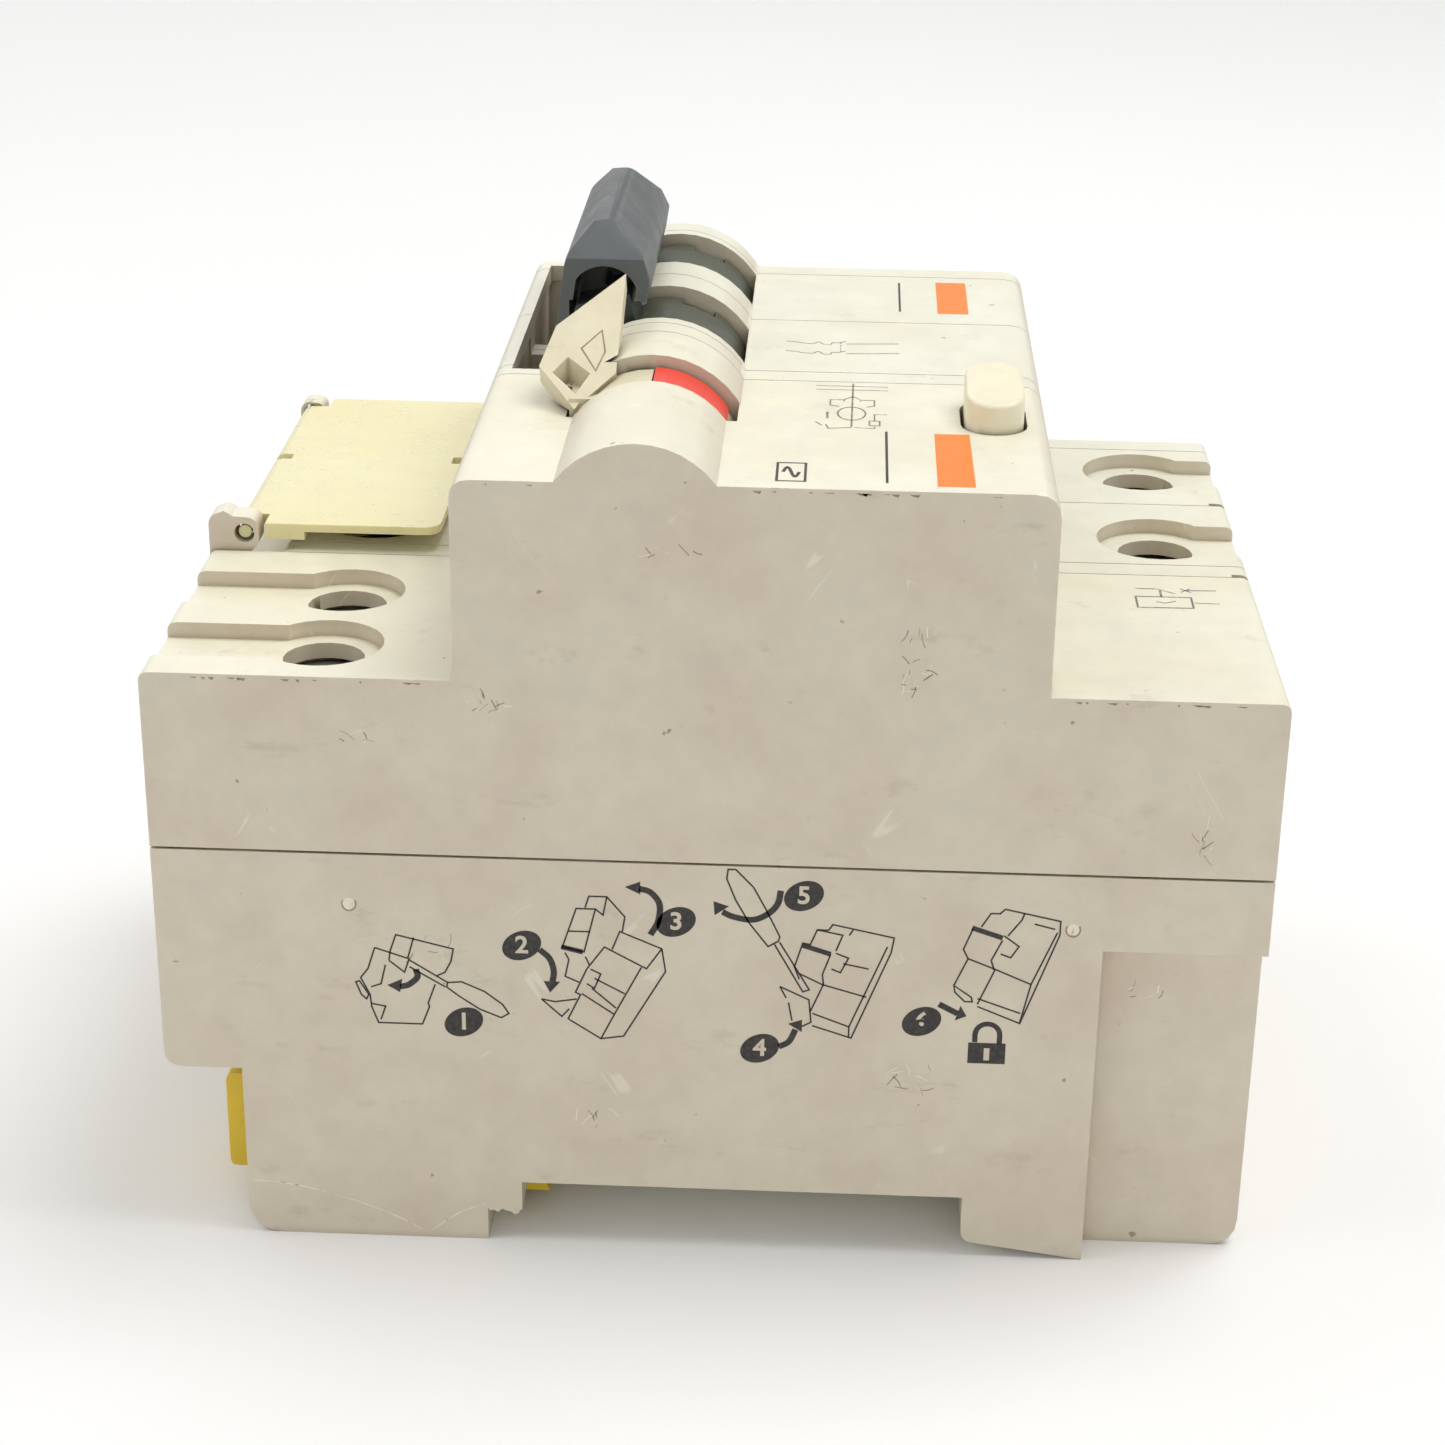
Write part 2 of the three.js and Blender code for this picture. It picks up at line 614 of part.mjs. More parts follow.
// A conductor runs from a load clamp through the core, back over it and down into the link
// housing, where it ends in the tongue that enters a breaker pole's own clamp.
function conductor(index) {
  const clampY = BLOCK_TERMINAL_Y[index];
  const poleY = poleMiddle(index);
  const holeY = TOROID.y + [-2.2, 2.2][index];
  const backY = [23.1, 20.2][index];
  const backZ = 33.6;
  const lowZ = [25, 21.8][index];
  const turnX = [47.4, 43.8][index];
  const linkX = 3.4;
  const tongueZ0 = 33.1;
  const tongueZ1 = 34.7;
  const wire = swept(
    round(WIRE_R, 8),
    [
      [18, clampY, BAR_Z0 + 0.7],
      [21.5, clampY - 1, backZ],
      [26, holeY, TOROID.z + 3],
      [TOROID.x - 3, holeY, TOROID.z],
      [TOROID.x + 6, holeY, TOROID.z],
      [turnX, holeY + 3, 24],
      [turnX, backY - 2, 30.5],
      [41, backY, backZ],
      [29, backY, backZ],
      [24, backY, lowZ + 3],
      [20, backY, lowZ],
      [8, backY, lowZ],
      [3.8, backY + 1.2, lowZ],
      [linkX, BLOCK_WIDTH, lowZ],
      [linkX, poleY - 6.5, lowZ],
      [linkX, poleY - 1.4, tongueZ0 + 0.6],
    ],
    56,
    0.3,
  );
  const clampBar = box(9, 18.6, clampY - BAR_HALF, clampY + BAR_HALF, BAR_Z0, BAR_Z1);
  const tongue = box(linkX - 1.4, 16.5, poleY - 2.6, poleY + 2.6, tongueZ0, tongueZ1);
  return join(wire, clampBar, tongue);
}

function tripRelay() {
  const body = box(50, 68, 4, 20, 9, 26);
  const neck = cylinder('z', 3, 25.5, 28, 59, 12, 20);
  return cut(join(body, neck), cylinder('z', 1.5, 18, 30, 59, 12, 16));
}

const relayPlunger = () =>
  join(cylinder('z', 1.2, 20, 32, 59, 12, 14), cylinder('z', 2.4, 31.5, 32.6, 59, 12, 18));

function circuitBoard() {
  const board = box(47, 72, 3, 24, 41, 42.6);
  return cut(
    board,
    cylinder('z', 1.5, 40, 44, 50, 6, 14),
    cylinder('z', 1.5, 40, 44, 69, 21, 14),
    box(57, 61, 10, 14, 40, 44),
  );
}

function testResistor() {
  const body = join(
    cylinder('x', 1.6, 49, 58, 8, 46.2, 16),
    cylinder('x', 0.35, 47.2, 60, 8, 46.2, 8),
  );
  return join(
    body,
    cylinder('z', 0.35, 42.9, 46.4, 47.6, 8, 8),
    cylinder('z', 0.35, 42.9, 46.4, 59.6, 8, 8),
  );
}

// Contact strip under the test button's stem.
const testContact = () =>
  join(box(63, 66.2, 13, 23, 49.4, 50), box(63, 66.2, 13, 13.6, 43, 50));

// ---------------------------------------------------------------- breaker poles
const poleOutline = (t) =>
  outline([
    [POLE_X0 + t, t, t ? 0 : 2.8],
    [MOUTH_X - t, t],
    [MOUTH_X - t, MOUTH_Z + t],
    [RAIL_X0 - t, MOUTH_Z + t],
    [RAIL_X0 - t, RAIL_SEAT + t],
    [RAIL_X1 + t, RAIL_SEAT + t],
    [RAIL_X1 + t, 0.6 + t, t ? 0 : 1],
    [LENGTH - t, t, t ? 0 : 2.5],
    [LENGTH - t, SHOULDER - t, t ? 0 : 0.8],
    [NOSE_X1 - t, SHOULDER - t],
    [NOSE_X1 - t, FRONT - t, t ? 0.6 : 2],
    [NOSE_X0 + t, FRONT - t, t ? 0.6 : 1.6],
    [NOSE_X0 + t, SHOULDER - t],
    [POLE_X0 + t, SHOULDER - t, t ? 0 : 0.8],
  ]);

// Openings shared by a pole's case and its side cover, and the well both poles share.
function poleOpenings(index) {
  const y0 = poleStart(index);
  const middle = poleMiddle(index);
  const slotY0 = middle - SLOT_WIDTH / 2;
  const slotY1 = middle + SLOT_WIDTH / 2;
  const wellY0 = index ? y0 - 1 : y0 + WALL;
  const wellY1 = index ? y0 + POLE_WIDTH - WALL : y0 + POLE_WIDTH + 1;
  return [
    box(WELL_X0, SLOT_X1, slotY0, slotY1, AXIS_Z - 7, AXIS_Z + 12),
    domeCylinder(DRUM_R + GAP, slotY0, slotY1),
    box(WELL_X0, AXIS_X - RIM_FOOT, wellY0, wellY1, FRONT - 3.2, FRONT + 1),
    keyhole(LINE_X, middle, LENGTH + 1, 5.1, 3.5),
    keyhole(LOAD_X, middle, POLE_X0 - 1, 5.1, 3.5),
    wireEntry(LENGTH - 3, LENGTH + 1, middle),
    wireEntry(POLE_X0 - 1, POLE_X0 + 3, middle),
    clipChannel(middle),
    box(LENGTH - 1.5, LENGTH + 1, y0 - 1, y0 + 0.65, SHOULDER - 1.6, SHOULDER + 1),
  ];
}

function poleShell(index) {
  const y0 = poleStart(index) + GAP / 2;
  const y1 = poleStart(index + 1) - (index ? 0 : GAP / 2);
  const rims = cut(
    domeCylinder(RIM_R, y0, y1),
    domeCylinder(RIM_R - POLE_WALL, y0 + POLE_WALL, y1 - POLE_WALL),
    box(20, 55, y0 - 1, y1 + 1, 50, FRONT - 1),
    box(AXIS_X - 5, AXIS_X + 5, y0 + POLE_WALL, y1 - POLE_WALL, FRONT - 2, FRONT + 0.4),
  );
  const shell = cut(
    slab(poleOutline(0), y0, y1, 4),
    cut(
      slab(poleOutline(POLE_WALL), y0 + POLE_WALL, y1 - POLE_WALL, 2),
      box(POLE_X0, RAIL_X0 + 2, 0, 100, 0, SLIDER_Z1 + GAP + POLE_WALL),
    ),
  );
  const hookIn = POLE_COVER + GAP;
  const hook = box(HOOK.x0, RAIL_X1 + 0.5, y0 + hookIn, y1 - hookIn, HOOK.z0, HOOK.z1);
  const pads = shoulderPads(POLE_X0 + 1, LENGTH - 1, y0 + 1, y1 - 1);
  const bosses = join(
    cylinder('y', 3, y0 + 1, y0 + 3.6, AXIS_X, AXIS_Z, 20),
    cylinder('y', 3, y1 - 3.6, y1 - 1, AXIS_X, AXIS_Z, 20),
  );
  const socket = cylinder('y', TRUNNION_R + GAP, y0 + 1.2, y1 - 1.2, AXIS_X, AXIS_Z, 20);
  return cut(join(shell, rims, hook, pads, bosses), socket, ...poleOpenings(index));
}

// The case is a deep tray; the cover closes one side. They part in a plane near the outer side.
function splitPole(index) {
  const part = index ? poleStart(index + 1) - POLE_COVER : poleStart(index) + POLE_COVER;
  const near = box(-10, 100, -10, part - GAP / 2, -10, 100);
  const far = box(-10, 100, part + GAP / 2, 100, -10, 100);
  const shell = poleShell(index);
  return index
    ? { body: shell.intersect(near), lid: shell.intersect(far) }
    : { body: shell.intersect(far), lid: shell.intersect(near) };
}

// Cross-section of the toggle's handle in the off position. `t` insets it from the tie cap.
const handleOutline = (t) =>
  outline([
    [28.9 + t, 67.9],
    [29.7 + t, 74 - t * 0.6, 0.8],
    [31.9, 76.4 - t],
    [33.5 - t * 0.3, 76.6 - t, 0.6],
    [36.1 - t, 74.1 - t * 0.6],
    [36.7 - t, 72.2 - t * 0.3],
    [36.4 - t, 70.2],
    [34.4, 69.6],
    [31.6, 67.9],
  ]);

function poleToggle(index) {
  const middle = poleMiddle(index);
  const half = SLOT_WIDTH / 2 - GAP;
  const drum = cylinder('y', DRUM_R, middle - half, middle + half, AXIS_X, AXIS_Z, 40);
  const trunnions = cylinder('y', TRUNNION_R, middle - 7.3, middle + 7.3, AXIS_X, AXIS_Z, 16);
  const handleY0 = index ? middle - HANDLE_HALF : CAP_Y0 + CAP_END + GAP;
  const handle = slab(handleOutline(1.35), handleY0, middle + HANDLE_HALF, 3);
  const neck = slab(
    outline([
      [31.2, 65.2],
      [36, 67],
      [35, 71],
      [30.6, 70],
    ]),
    middle - HANDLE_HALF,
    middle + HANDLE_HALF,
  );
  const pinHole = cylinder('y', 0.95, middle - 6, middle + 6, 33.4, 71.4, 14);
  const [notchX, notchZ] = onAxis(DRUM_R, 22);
  const notch = cylinder('y', 1.5, middle + half - 1.6, middle + half + 1, notchX, notchZ, 16);
  return cut(join(drum, trunnions, handle, neck), pinHole, notch);
}

// What is cut off the far end of the cap and of the handle in it.
const farSlope = () => slopeCut(CAP_X, 53.4, 58.6, 77, 71.6);

// The tie cap slips over both handles and makes them move as one. The end beside the residual
// block is solid above an arched opening, and both ends slope in towards the top.
function toggleCap() {
  const y1 = poleMiddle(1) + HANDLE_HALF;
  const shell = cut(
    slab(handleOutline(0), CAP_Y0, y1, 3),
    slab(handleOutline(1.05), CAP_Y0 - 1, y1 + 1, 3),
  );
  const arch = join(
    cylinder('y', 2.9, CAP_Y0 - 1, CAP_Y0 + CAP_END + 1, 32.9, 70.4, 28),
    box(30, 35.8, CAP_Y0 - 1, CAP_Y0 + CAP_END + 1, 66, 70.4),
  );
  const solidEnd = cut(slab(handleOutline(0.3), CAP_Y0, CAP_Y0 + CAP_END, 3), arch);
  const open = box(30, 36, CAP_Y0 - 1, y1 + 1, 66, 70.4);
  const nearSlope = slopeCut(CAP_X, CAP_Y0 - 0.3, CAP_Y0 + 3.2, 73.6, 76.9);
  return cut(join(shell, solidEnd), open, nearSlope, farSlope());
}

// Terminal bar from the line clamp down to the fixed contact.
function lineBar(index) {
  const middle = poleMiddle(index);
  const bar = outline([
    [83.5, BAR_Z0],
    [83.5, BAR_Z1],
    [73.2, BAR_Z1],
    [71.8, 34.6],
    [71.8, 27],
    [60.6, 27],
    [60.6, 25.6],
    [73.2, 25.6],
    [73.2, BAR_Z0],
  ]);
  const contact = slab(
    outline([
      [60.8, 25.8],
      [62.6, 27.4],
      [60.6, 29.6],
      [59.3, 28.3],
    ]),
    middle - 1.8,
    middle + 1.8,
  );
  return join(slab(bar, middle - BAR_HALF, middle + BAR_HALF), contact);
}

// Terminal strip from the load clamp, bent down to carry the bimetal.
function loadBar(index) {
  const middle = poleMiddle(index);
  const bar = outline([
    [9.5, BAR_Z0],
    [19.8, BAR_Z0],
    [19.8, 12],
    [21.2, 12],
    [21.2, BAR_Z1],
    [9.5, BAR_Z1],
  ]);
  return slab(bar, middle - BAR_HALF, middle + BAR_HALF);
}

const bimetal = (index) => {
  const middle = poleMiddle(index);
  return slab(
    outline([
      [21.5, 12],
      [22.5, 12],
      [22.9, 40],
      [22, 44],
      [21.2, 44],
      [21.9, 40],
    ]),
    middle - 2,
    middle + 2,
  );
};

const ARM_PIVOT = { x: 44, z: 42 };
const ARM_OPEN = 18; // degrees from the closed position

// The contact arm at rest is swung clear of the fixed contact.
function contactArm(index) {
  const middle = poleMiddle(index);
  const open = THREE.MathUtils.degToRad(ARM_OPEN);
  const reach = (along, across) => {
    const angle = Math.atan2(-13.4, 13.6) - open;
    return [
      ARM_PIVOT.x + along * Math.cos(angle) - across * Math.sin(angle),
      ARM_PIVOT.z + along * Math.sin(angle) + across * Math.cos(angle),
    ];
  };
  const arm = outline([
    reach(-3, -1.6),
    reach(17, -1.2),
    reach(20.4, -0.6),
    reach(20.4, 0.9),
    reach(-3, 1.6),
  ]);
  const pad = outline([reach(17.4, 0.5), reach(20.2, 0.5), reach(20, 1.7), reach(17.6, 1.7)]);
  const hub = cylinder('y', 2.8, middle - 3.4, middle + 3.4, ARM_PIVOT.x, ARM_PIVOT.z, 20);
  return join(slab(arm, middle - 1.3, middle + 1.3), slab(pad, middle - 1.5, middle + 1.5), hub);
}

// Splitter plates held between two side cards.
function arcChute(index) {
  const middle = poleMiddle(index);
  const plateCount = 8;
  const platePitch = 1.7;
  const plates = [];
  for (let i = 0; i < plateCount; i++) {
    const z = 8.6 + i * platePitch;
    plates.push(box(50, 68.5, middle - 5.6, middle + 5.6, z, z + 0.8));
  }
  const cards = [-6, 5.4].map((y) => box(50.6, 68, middle + y, middle + y + 0.6, 8, 22.2));
  return join(...cards, ...plates);
}

const COIL = { x0: 26.5, x1: 42.5, z: 22 };

function coil(index) {
  const middle = poleMiddle(index);
  const turns = 6;
  const pitch = (COIL.x1 - COIL.x0 - 3) / turns;
  const length = COIL.x1 - COIL.x0;
  const profile = [new THREE.Vector2(2.5, 0), new THREE.Vector2(6, 0), new THREE.Vector2(6, 1.2)];
  for (let i = 0; i < turns; i++) {
    profile.push(new THREE.Vector2(4.5, 1.5 + i * pitch));
    profile.push(new THREE.Vector2(5.7, 1.5 + (i + 0.5) * pitch));
  }
  profile.push(new THREE.Vector2(4.5, length - 1.5), new THREE.Vector2(6, length - 1.2));
  profile.push(new THREE.Vector2(6, length), new THREE.Vector2(2.5, length), new THREE.Vector2(2.5, 0));
  const geometry = new THREE.LatheGeometry(profile, 16);
  geometry.rotateZ(-Math.PI / 2).translate(COIL.x0, middle, COIL.z);
  return solidOf(geometry);
}

const plunger = (index) => {
  const middle = poleMiddle(index);
  return join(
    cylinder('x', 2.1, COIL.x0 + 2, COIL.x1 + 1.5, middle, COIL.z, 16),
    cylinder('x', 1, COIL.x1 + 1, COIL.x1 + 4, middle, COIL.z, 12),
  );
};

// ---------------------------------------------------------------- assembly
place('rcd_cover', blockCover(), 'cream');
place('rcd_base', blockBase(), 'cream');
place('terminal_flap', terminalFlap(), 'aged');
place('rcd_rail_clip', railClip(BLOCK_CLIP_Y), 'yellow');
place('reset_lever', resetLever(), 'cream');
place('fault_flag', flagSector(0), 'red');
place('test_button', testButton(), 'button');
place('test_spring', testSpring(), 'steel');
place('test_contact', testContact(), 'copper');
place('test_resistor', testResistor(), 'black');
place('circuit_board', circuitBoard(), 'board');
place('toroid_core', toroidRing(9.6, 6, 3.6), 'core');
place('toroid_winding', toroidWinding(), 'copper');
place('trip_relay', tripRelay(), 'black');
place('relay_plunger', relayPlunger(), 'steel');
BLOCK_TERMINAL_Y.forEach((y, i) => {
  place(`rcd_clamp_${i + 1}`, clampCage(BLOCK_TERMINAL_X, y), 'steel');
  place(`rcd_screw_${i + 1}`, clampScrew(BLOCK_TERMINAL_X, y), 'steel');
  place(`rcd_conductor_${i + 1}`, conductor(i), 'copper');
});

for (const index of [0, 1]) {
  const name = `pole_${index + 1}`;
  const middle = poleMiddle(index);
  const { body, lid } = splitPole(index);
  place(`${name}_case`, body, 'cream');
  place(`${name}_side_cover`, lid, 'cream');
  place(`${name}_toggle`, poleToggle(index), 'drumGrey');
  place(`${name}_rail_clip`, railClip(middle), 'yellow');
  place(`${name}_line_clamp`, clampCage(LINE_X, middle), 'steel');
  place(`${name}_line_screw`, clampScrew(LINE_X, middle), 'steel');
  place(`${name}_line_bar`, lineBar(index), 'copper');
  place(`${name}_load_clamp`, clampCage(LOAD_X, middle), 'steel');
  place(`${name}_load_screw`, clampScrew(LOAD_X, middle), 'steel');
  place(`${name}_load_bar`, loadBar(index), 'copper');
  place(`${name}_bimetal`, bimetal(index), 'steel');
  place(`${name}_contact_arm`, contactArm(index), 'copper');
  place(`${name}_arc_chute`, arcChute(index), 'steel');
  place(`${name}_coil`, coil(index), 'copper');
  place(`${name}_plunger`, plunger(index), 'steel');
}
place('toggle_cap', toggleCap(), 'charcoal');

export default group;
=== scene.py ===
"""A two-pole circuit breaker with its residual current block, dressed for a studio picture."""

import json
import math
import random

import bmesh
import bpy
from mathutils import Matrix, Vector
from mathutils.bvhtree import BVHTree

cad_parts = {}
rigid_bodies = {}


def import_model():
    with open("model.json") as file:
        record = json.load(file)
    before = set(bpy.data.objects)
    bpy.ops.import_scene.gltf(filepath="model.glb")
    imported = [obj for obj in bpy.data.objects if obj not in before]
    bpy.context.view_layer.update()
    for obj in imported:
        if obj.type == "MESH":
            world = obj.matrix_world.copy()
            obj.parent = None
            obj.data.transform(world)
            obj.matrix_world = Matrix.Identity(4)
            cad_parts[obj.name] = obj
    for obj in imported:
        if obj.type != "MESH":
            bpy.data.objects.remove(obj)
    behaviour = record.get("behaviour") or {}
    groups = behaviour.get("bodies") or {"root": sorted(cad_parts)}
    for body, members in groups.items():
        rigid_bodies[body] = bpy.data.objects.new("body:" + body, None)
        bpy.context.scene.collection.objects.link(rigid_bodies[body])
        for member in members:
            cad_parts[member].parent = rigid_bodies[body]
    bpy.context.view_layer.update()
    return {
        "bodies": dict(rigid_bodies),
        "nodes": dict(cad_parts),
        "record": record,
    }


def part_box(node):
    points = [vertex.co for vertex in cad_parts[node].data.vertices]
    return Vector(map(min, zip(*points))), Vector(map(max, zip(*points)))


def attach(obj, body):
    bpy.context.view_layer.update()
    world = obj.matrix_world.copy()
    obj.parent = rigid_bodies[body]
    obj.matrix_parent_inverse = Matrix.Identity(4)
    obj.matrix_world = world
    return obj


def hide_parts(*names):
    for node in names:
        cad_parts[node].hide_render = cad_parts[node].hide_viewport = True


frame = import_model()

MM = 0.001
CORNER = Vector((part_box("rcd_cover")[0].x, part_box("rcd_cover")[0].y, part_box("rcd_base")[0].z))
FRONT = 65.5  # height of the front face, mm
SHOULDER = 49.5  # height of the terminal shoulders, mm
AXIS = (37.75, 61.2)  # the toggles' axis in X and Z, mm
DRUM_R = 7.3
NOTCH_FLOOR_R = 5.4  # the notch in a drum's rim starts above this radius
NOTCH_REACH = 4.3  # and no farther than this from the drum's far end
INK = 0.02  # thickness of a print, mm
SKIN = 0.03  # how far the near face lies behind the row's box, so that its prints stay inside
SEAM = 0.09  # how far each housing half grows towards its neighbour
SHARP = math.radians(31)
RNG = random.Random(7)


def at(x, y, z):
    """A place in millimetres from the block's load-end corner, in the row frame."""
    return CORNER + Vector((x, y, z)) * MM


# ------------------------------------------------------------------ node helpers
class Graph:
    """A material's node tree, built by short calls."""

    def __init__(self, name):
        self.material = bpy.data.materials.new(name)
        self.material.use_nodes = True
        self.tree = self.material.node_tree
        self.tree.nodes.clear()
        self.coords = self.add("ShaderNodeTexCoord").outputs["Object"]
        self.shader = self.add("ShaderNodeBsdfPrincipled")
        out = self.add("ShaderNodeOutputMaterial")
        self.tree.links.new(self.shader.outputs[0], out.inputs[0])

    def add(self, kind, values=None, **settings):
        node = self.tree.nodes.new(kind)
        for key, value in settings.items():
            setattr(node, key, value)
        for key, value in (values or {}).items():
            self.put(node.inputs[key], value)
        return node

    def put(self, socket, value):
        if isinstance(value, bpy.types.NodeSocket):
            self.tree.links.new(value, socket)
        else:
            socket.default_value = value

    def noise(self, per_mm, detail=4.0, rough=0.55, stretch=(1, 1, 1), shift=0.0):
        place = self.add(
            "ShaderNodeMapping",
            {"Vector": self.coords, "Location": (shift, shift * 0.7, -shift), "Scale": stretch},
        )
        values = {
            "Vector": place.outputs[0], "Scale": per_mm / MM, "Detail": detail, "Roughness": rough,
        }
        return self.add("ShaderNodeTexNoise", values).outputs["Fac"]

    def ramp(self, value, low, high, out_low=0.0, out_high=1.0):
        values = {
            "Value": value, "From Min": low, "From Max": high, "To Min": out_low, "To Max": out_high,
        }
        return self.add("ShaderNodeMapRange", values, clamp=True).outputs[0]

    def mix(self, fac, a, b, blend="MIX"):
        node = self.add("ShaderNodeMix", data_type="RGBA", blend_type=blend)
        self.put(node.inputs[0], fac)
        self.put(node.inputs[6], a)
        self.put(node.inputs[7], b)
        return node.outputs[2]

    def math(self, kind, a, b=0.0):
        node = self.add("ShaderNodeMath", operation=kind)
        self.put(node.inputs[0], a)
        self.put(node.inputs[1], b)
        return node.outputs[0]

    def hairlines(self, turn, per_mm, width, shift, rare=0.56):
        """Sparse fine scratches that run one way, each a few millimetres long."""
        place = self.add(
            "ShaderNodeMapping",
            {"Vector": self.coords, "Rotation": [math.radians(a) for a in turn]},
        )
        squeezed = self.add(
            "ShaderNodeMapping",
            {"Vector": place.outputs[0], "Location": (shift, shift, shift), "Scale": (1, 0.09, 0.09)},
        )
        values = {
            "Vector": squeezed.outputs[0], "Scale": per_mm / MM, "Detail": 1.0, "Roughness": 0.3,
        }
        wave = self.add("ShaderNodeTexNoise", values).outputs["Fac"]
        off = self.math("ABSOLUTE", self.math("SUBTRACT", wave, 0.5))
        line = self.ramp(off, width * 0.4, width, 1.0, 0.0)
        where = self.ramp(self.noise(0.16, 3, 0.5, shift=shift), rare, rare + 0.06)
        return self.math("MULTIPLY", line, where)

    def facing(self, direction):
        """1 on faces that look along direction, 0 on the others."""
        normal = self.add("ShaderNodeTexCoord").outputs["Normal"]
        dot = self.add("ShaderNodeVectorMath", {0: normal, 1: direction}, operation="DOT_PRODUCT")
        return self.ramp(dot.outputs["Value"], 0.55, 0.9)

    def corners(self, mm, inside=False):
        """How enclosed a point is within that distance, or how near to an outer edge."""
        node = self.add("ShaderNodeAmbientOcclusion", {"Distance": mm * MM}, samples=4, inside=inside)
        return self.math("SUBTRACT", 1.0, node.outputs["AO"])

    def bump(self, height, depth_mm, strength=1.0):
        values = {"Height": height, "Distance": depth_mm * MM, "Strength": strength}
        return self.add("ShaderNodeBump", values).outputs[0]

    def look(self, values, fixed=()):
        """Sets the shader's driven inputs, and then its fixed ones."""
        for key, value in values.items():
            self.put(self.shader.inputs[key], value)
        for key, value in dict(fixed).items():
            self.shader.inputs[key].default_value = value
        return self.material


def rgb(red, green, blue):
    """Linear colour of an sRGB one given in 0 to 255."""
    def linear(c):
        c /= 255
        return c / 12.92 if c <= 0.04045 else ((c + 0.055) / 1.055) ** 2.4

    return (linear(red), linear(green), linear(blue), 1.0)


# --------------------------------------------------------------------- materials
def moulded(name, clean, aged, dirt_and_shade, gloss=0.42, wear_and_highlight=None, side=None, soft=0.0, mottle=0.5,
            spots=0.65):
    """Moulded plastic: patchy ageing, fine grain, soiling and painted shade in corners, side faces
    painted darker as shade, edges lightened as worn and as painted highlight, hairline scratches.
    """
    g = Graph(name)
    patches = g.ramp(g.noise(0.055, 5), 0.38, 0.66)
    cloud = g.ramp(g.noise(0.35, 6, 0.62, shift=0.013), 0.3, 0.7)
    colour = g.mix(g.math("MULTIPLY", patches, mottle), clean, aged)
    # Faces looking to the front and to either end get darker, pinker colours: painted shade for the
    # light falling from above, with some aged hue.
    if side is not None:
        side_shade_tint = g.mix(g.ramp(g.noise(0.11, 5, shift=0.03), 0.42, 0.68), side[0], side[1])
        for direction in ((0, -1, 0), (1, 0, 0), (-1, 0, 0)):
            colour = g.mix(g.facing(direction), colour, side_shade_tint)
    shade = g.ramp(cloud, 0, 1, 0.955, 1.035)
    grey = g.add("ShaderNodeCombineColor", dict.fromkeys((0, 1, 2), shade)).outputs[0]
    colour = g.mix(1.0, colour, grey, "MULTIPLY")
    smears = g.ramp(g.noise(0.16, 8, 0.7, (1, 1, 2.4), 0.05), 0.6, 0.78, 0, spots * 0.46)
    colour = g.mix(smears, colour, dirt_and_shade)
    # Corners darkened through the occlusion mask: part soiling, part painted shade where light can't
    # reach.
    corner_grime_and_shade = g.math("MULTIPLY", g.ramp(g.corners(1.3), 0.25, 0.95), g.ramp(cloud, 0, 1, 0.35, 0.9))
    colour = g.mix(corner_grime_and_shade, colour, dirt_and_shade)
    specks = g.ramp(g.noise(0.75, 3, 0.5, shift=0.02), 0.73, 0.77, 0, spots)
    colour = g.mix(specks, colour, dirt_and_shade)
    scratch = g.math(
        "MAXIMUM",
        g.hairlines((12, 28, 17), 0.5, 0.009, 0.11, 0.62),
        g.hairlines((-20, -54, -35), 0.42, 0.008, 0.31, 0.64),
    )
    worn = g.math("MULTIPLY", g.corners(0.35, True), g.ramp(cloud, 0, 1, 0.3, 1.3))
    edge = g.ramp(worn, 0.45, 0.8)
    chips = g.math("MULTIPLY", edge, g.ramp(g.noise(0.8, 4, 0.6, shift=0.07), 0.56, 0.62))
    # Convex edges and scratches lighten toward the worn colour: rub marks, and painted highlight along
    # the ridges.
    if wear_and_highlight is not None:
        rubbed_and_highlit = g.math("MAXIMUM", edge, g.math("MULTIPLY", scratch, 0.6))
        colour = g.mix(g.math("MULTIPLY", rubbed_and_highlit, 0.75), colour, wear_and_highlight)
        colour = g.mix(g.math("MULTIPLY", chips, 0.7), colour, dirt_and_shade)
    grain = g.noise(2.6, 3, 0.6)
    height = g.math("ADD", g.math("MULTIPLY", grain, 0.35), g.math("MULTIPLY", cloud, 0.9))
    height = g.math("SUBTRACT", height, g.math("MULTIPLY", scratch, 0.6))
    height = g.math("SUBTRACT", height, g.math("MULTIPLY", edge, 0.6))
    dull = g.math("ADD", g.math("MULTIPLY", cloud, 0.6), corner_grime_and_shade)
    rough = g.ramp(dull, 0, 1.4, gloss - 0.07, gloss + 0.3)
    fixed = {"IOR": 1.5}
    if soft:
        fixed["Subsurface Weight"] = soft
        fixed["Subsurface Radius"] = (1.0, 0.75, 0.4)
        fixed["Subsurface Scale"] = 0.6 * MM
    return g.look(
        {"Base Color": colour, "Roughness": rough, "Normal": g.bump(height, 0.035, 0.8)}, fixed
    )


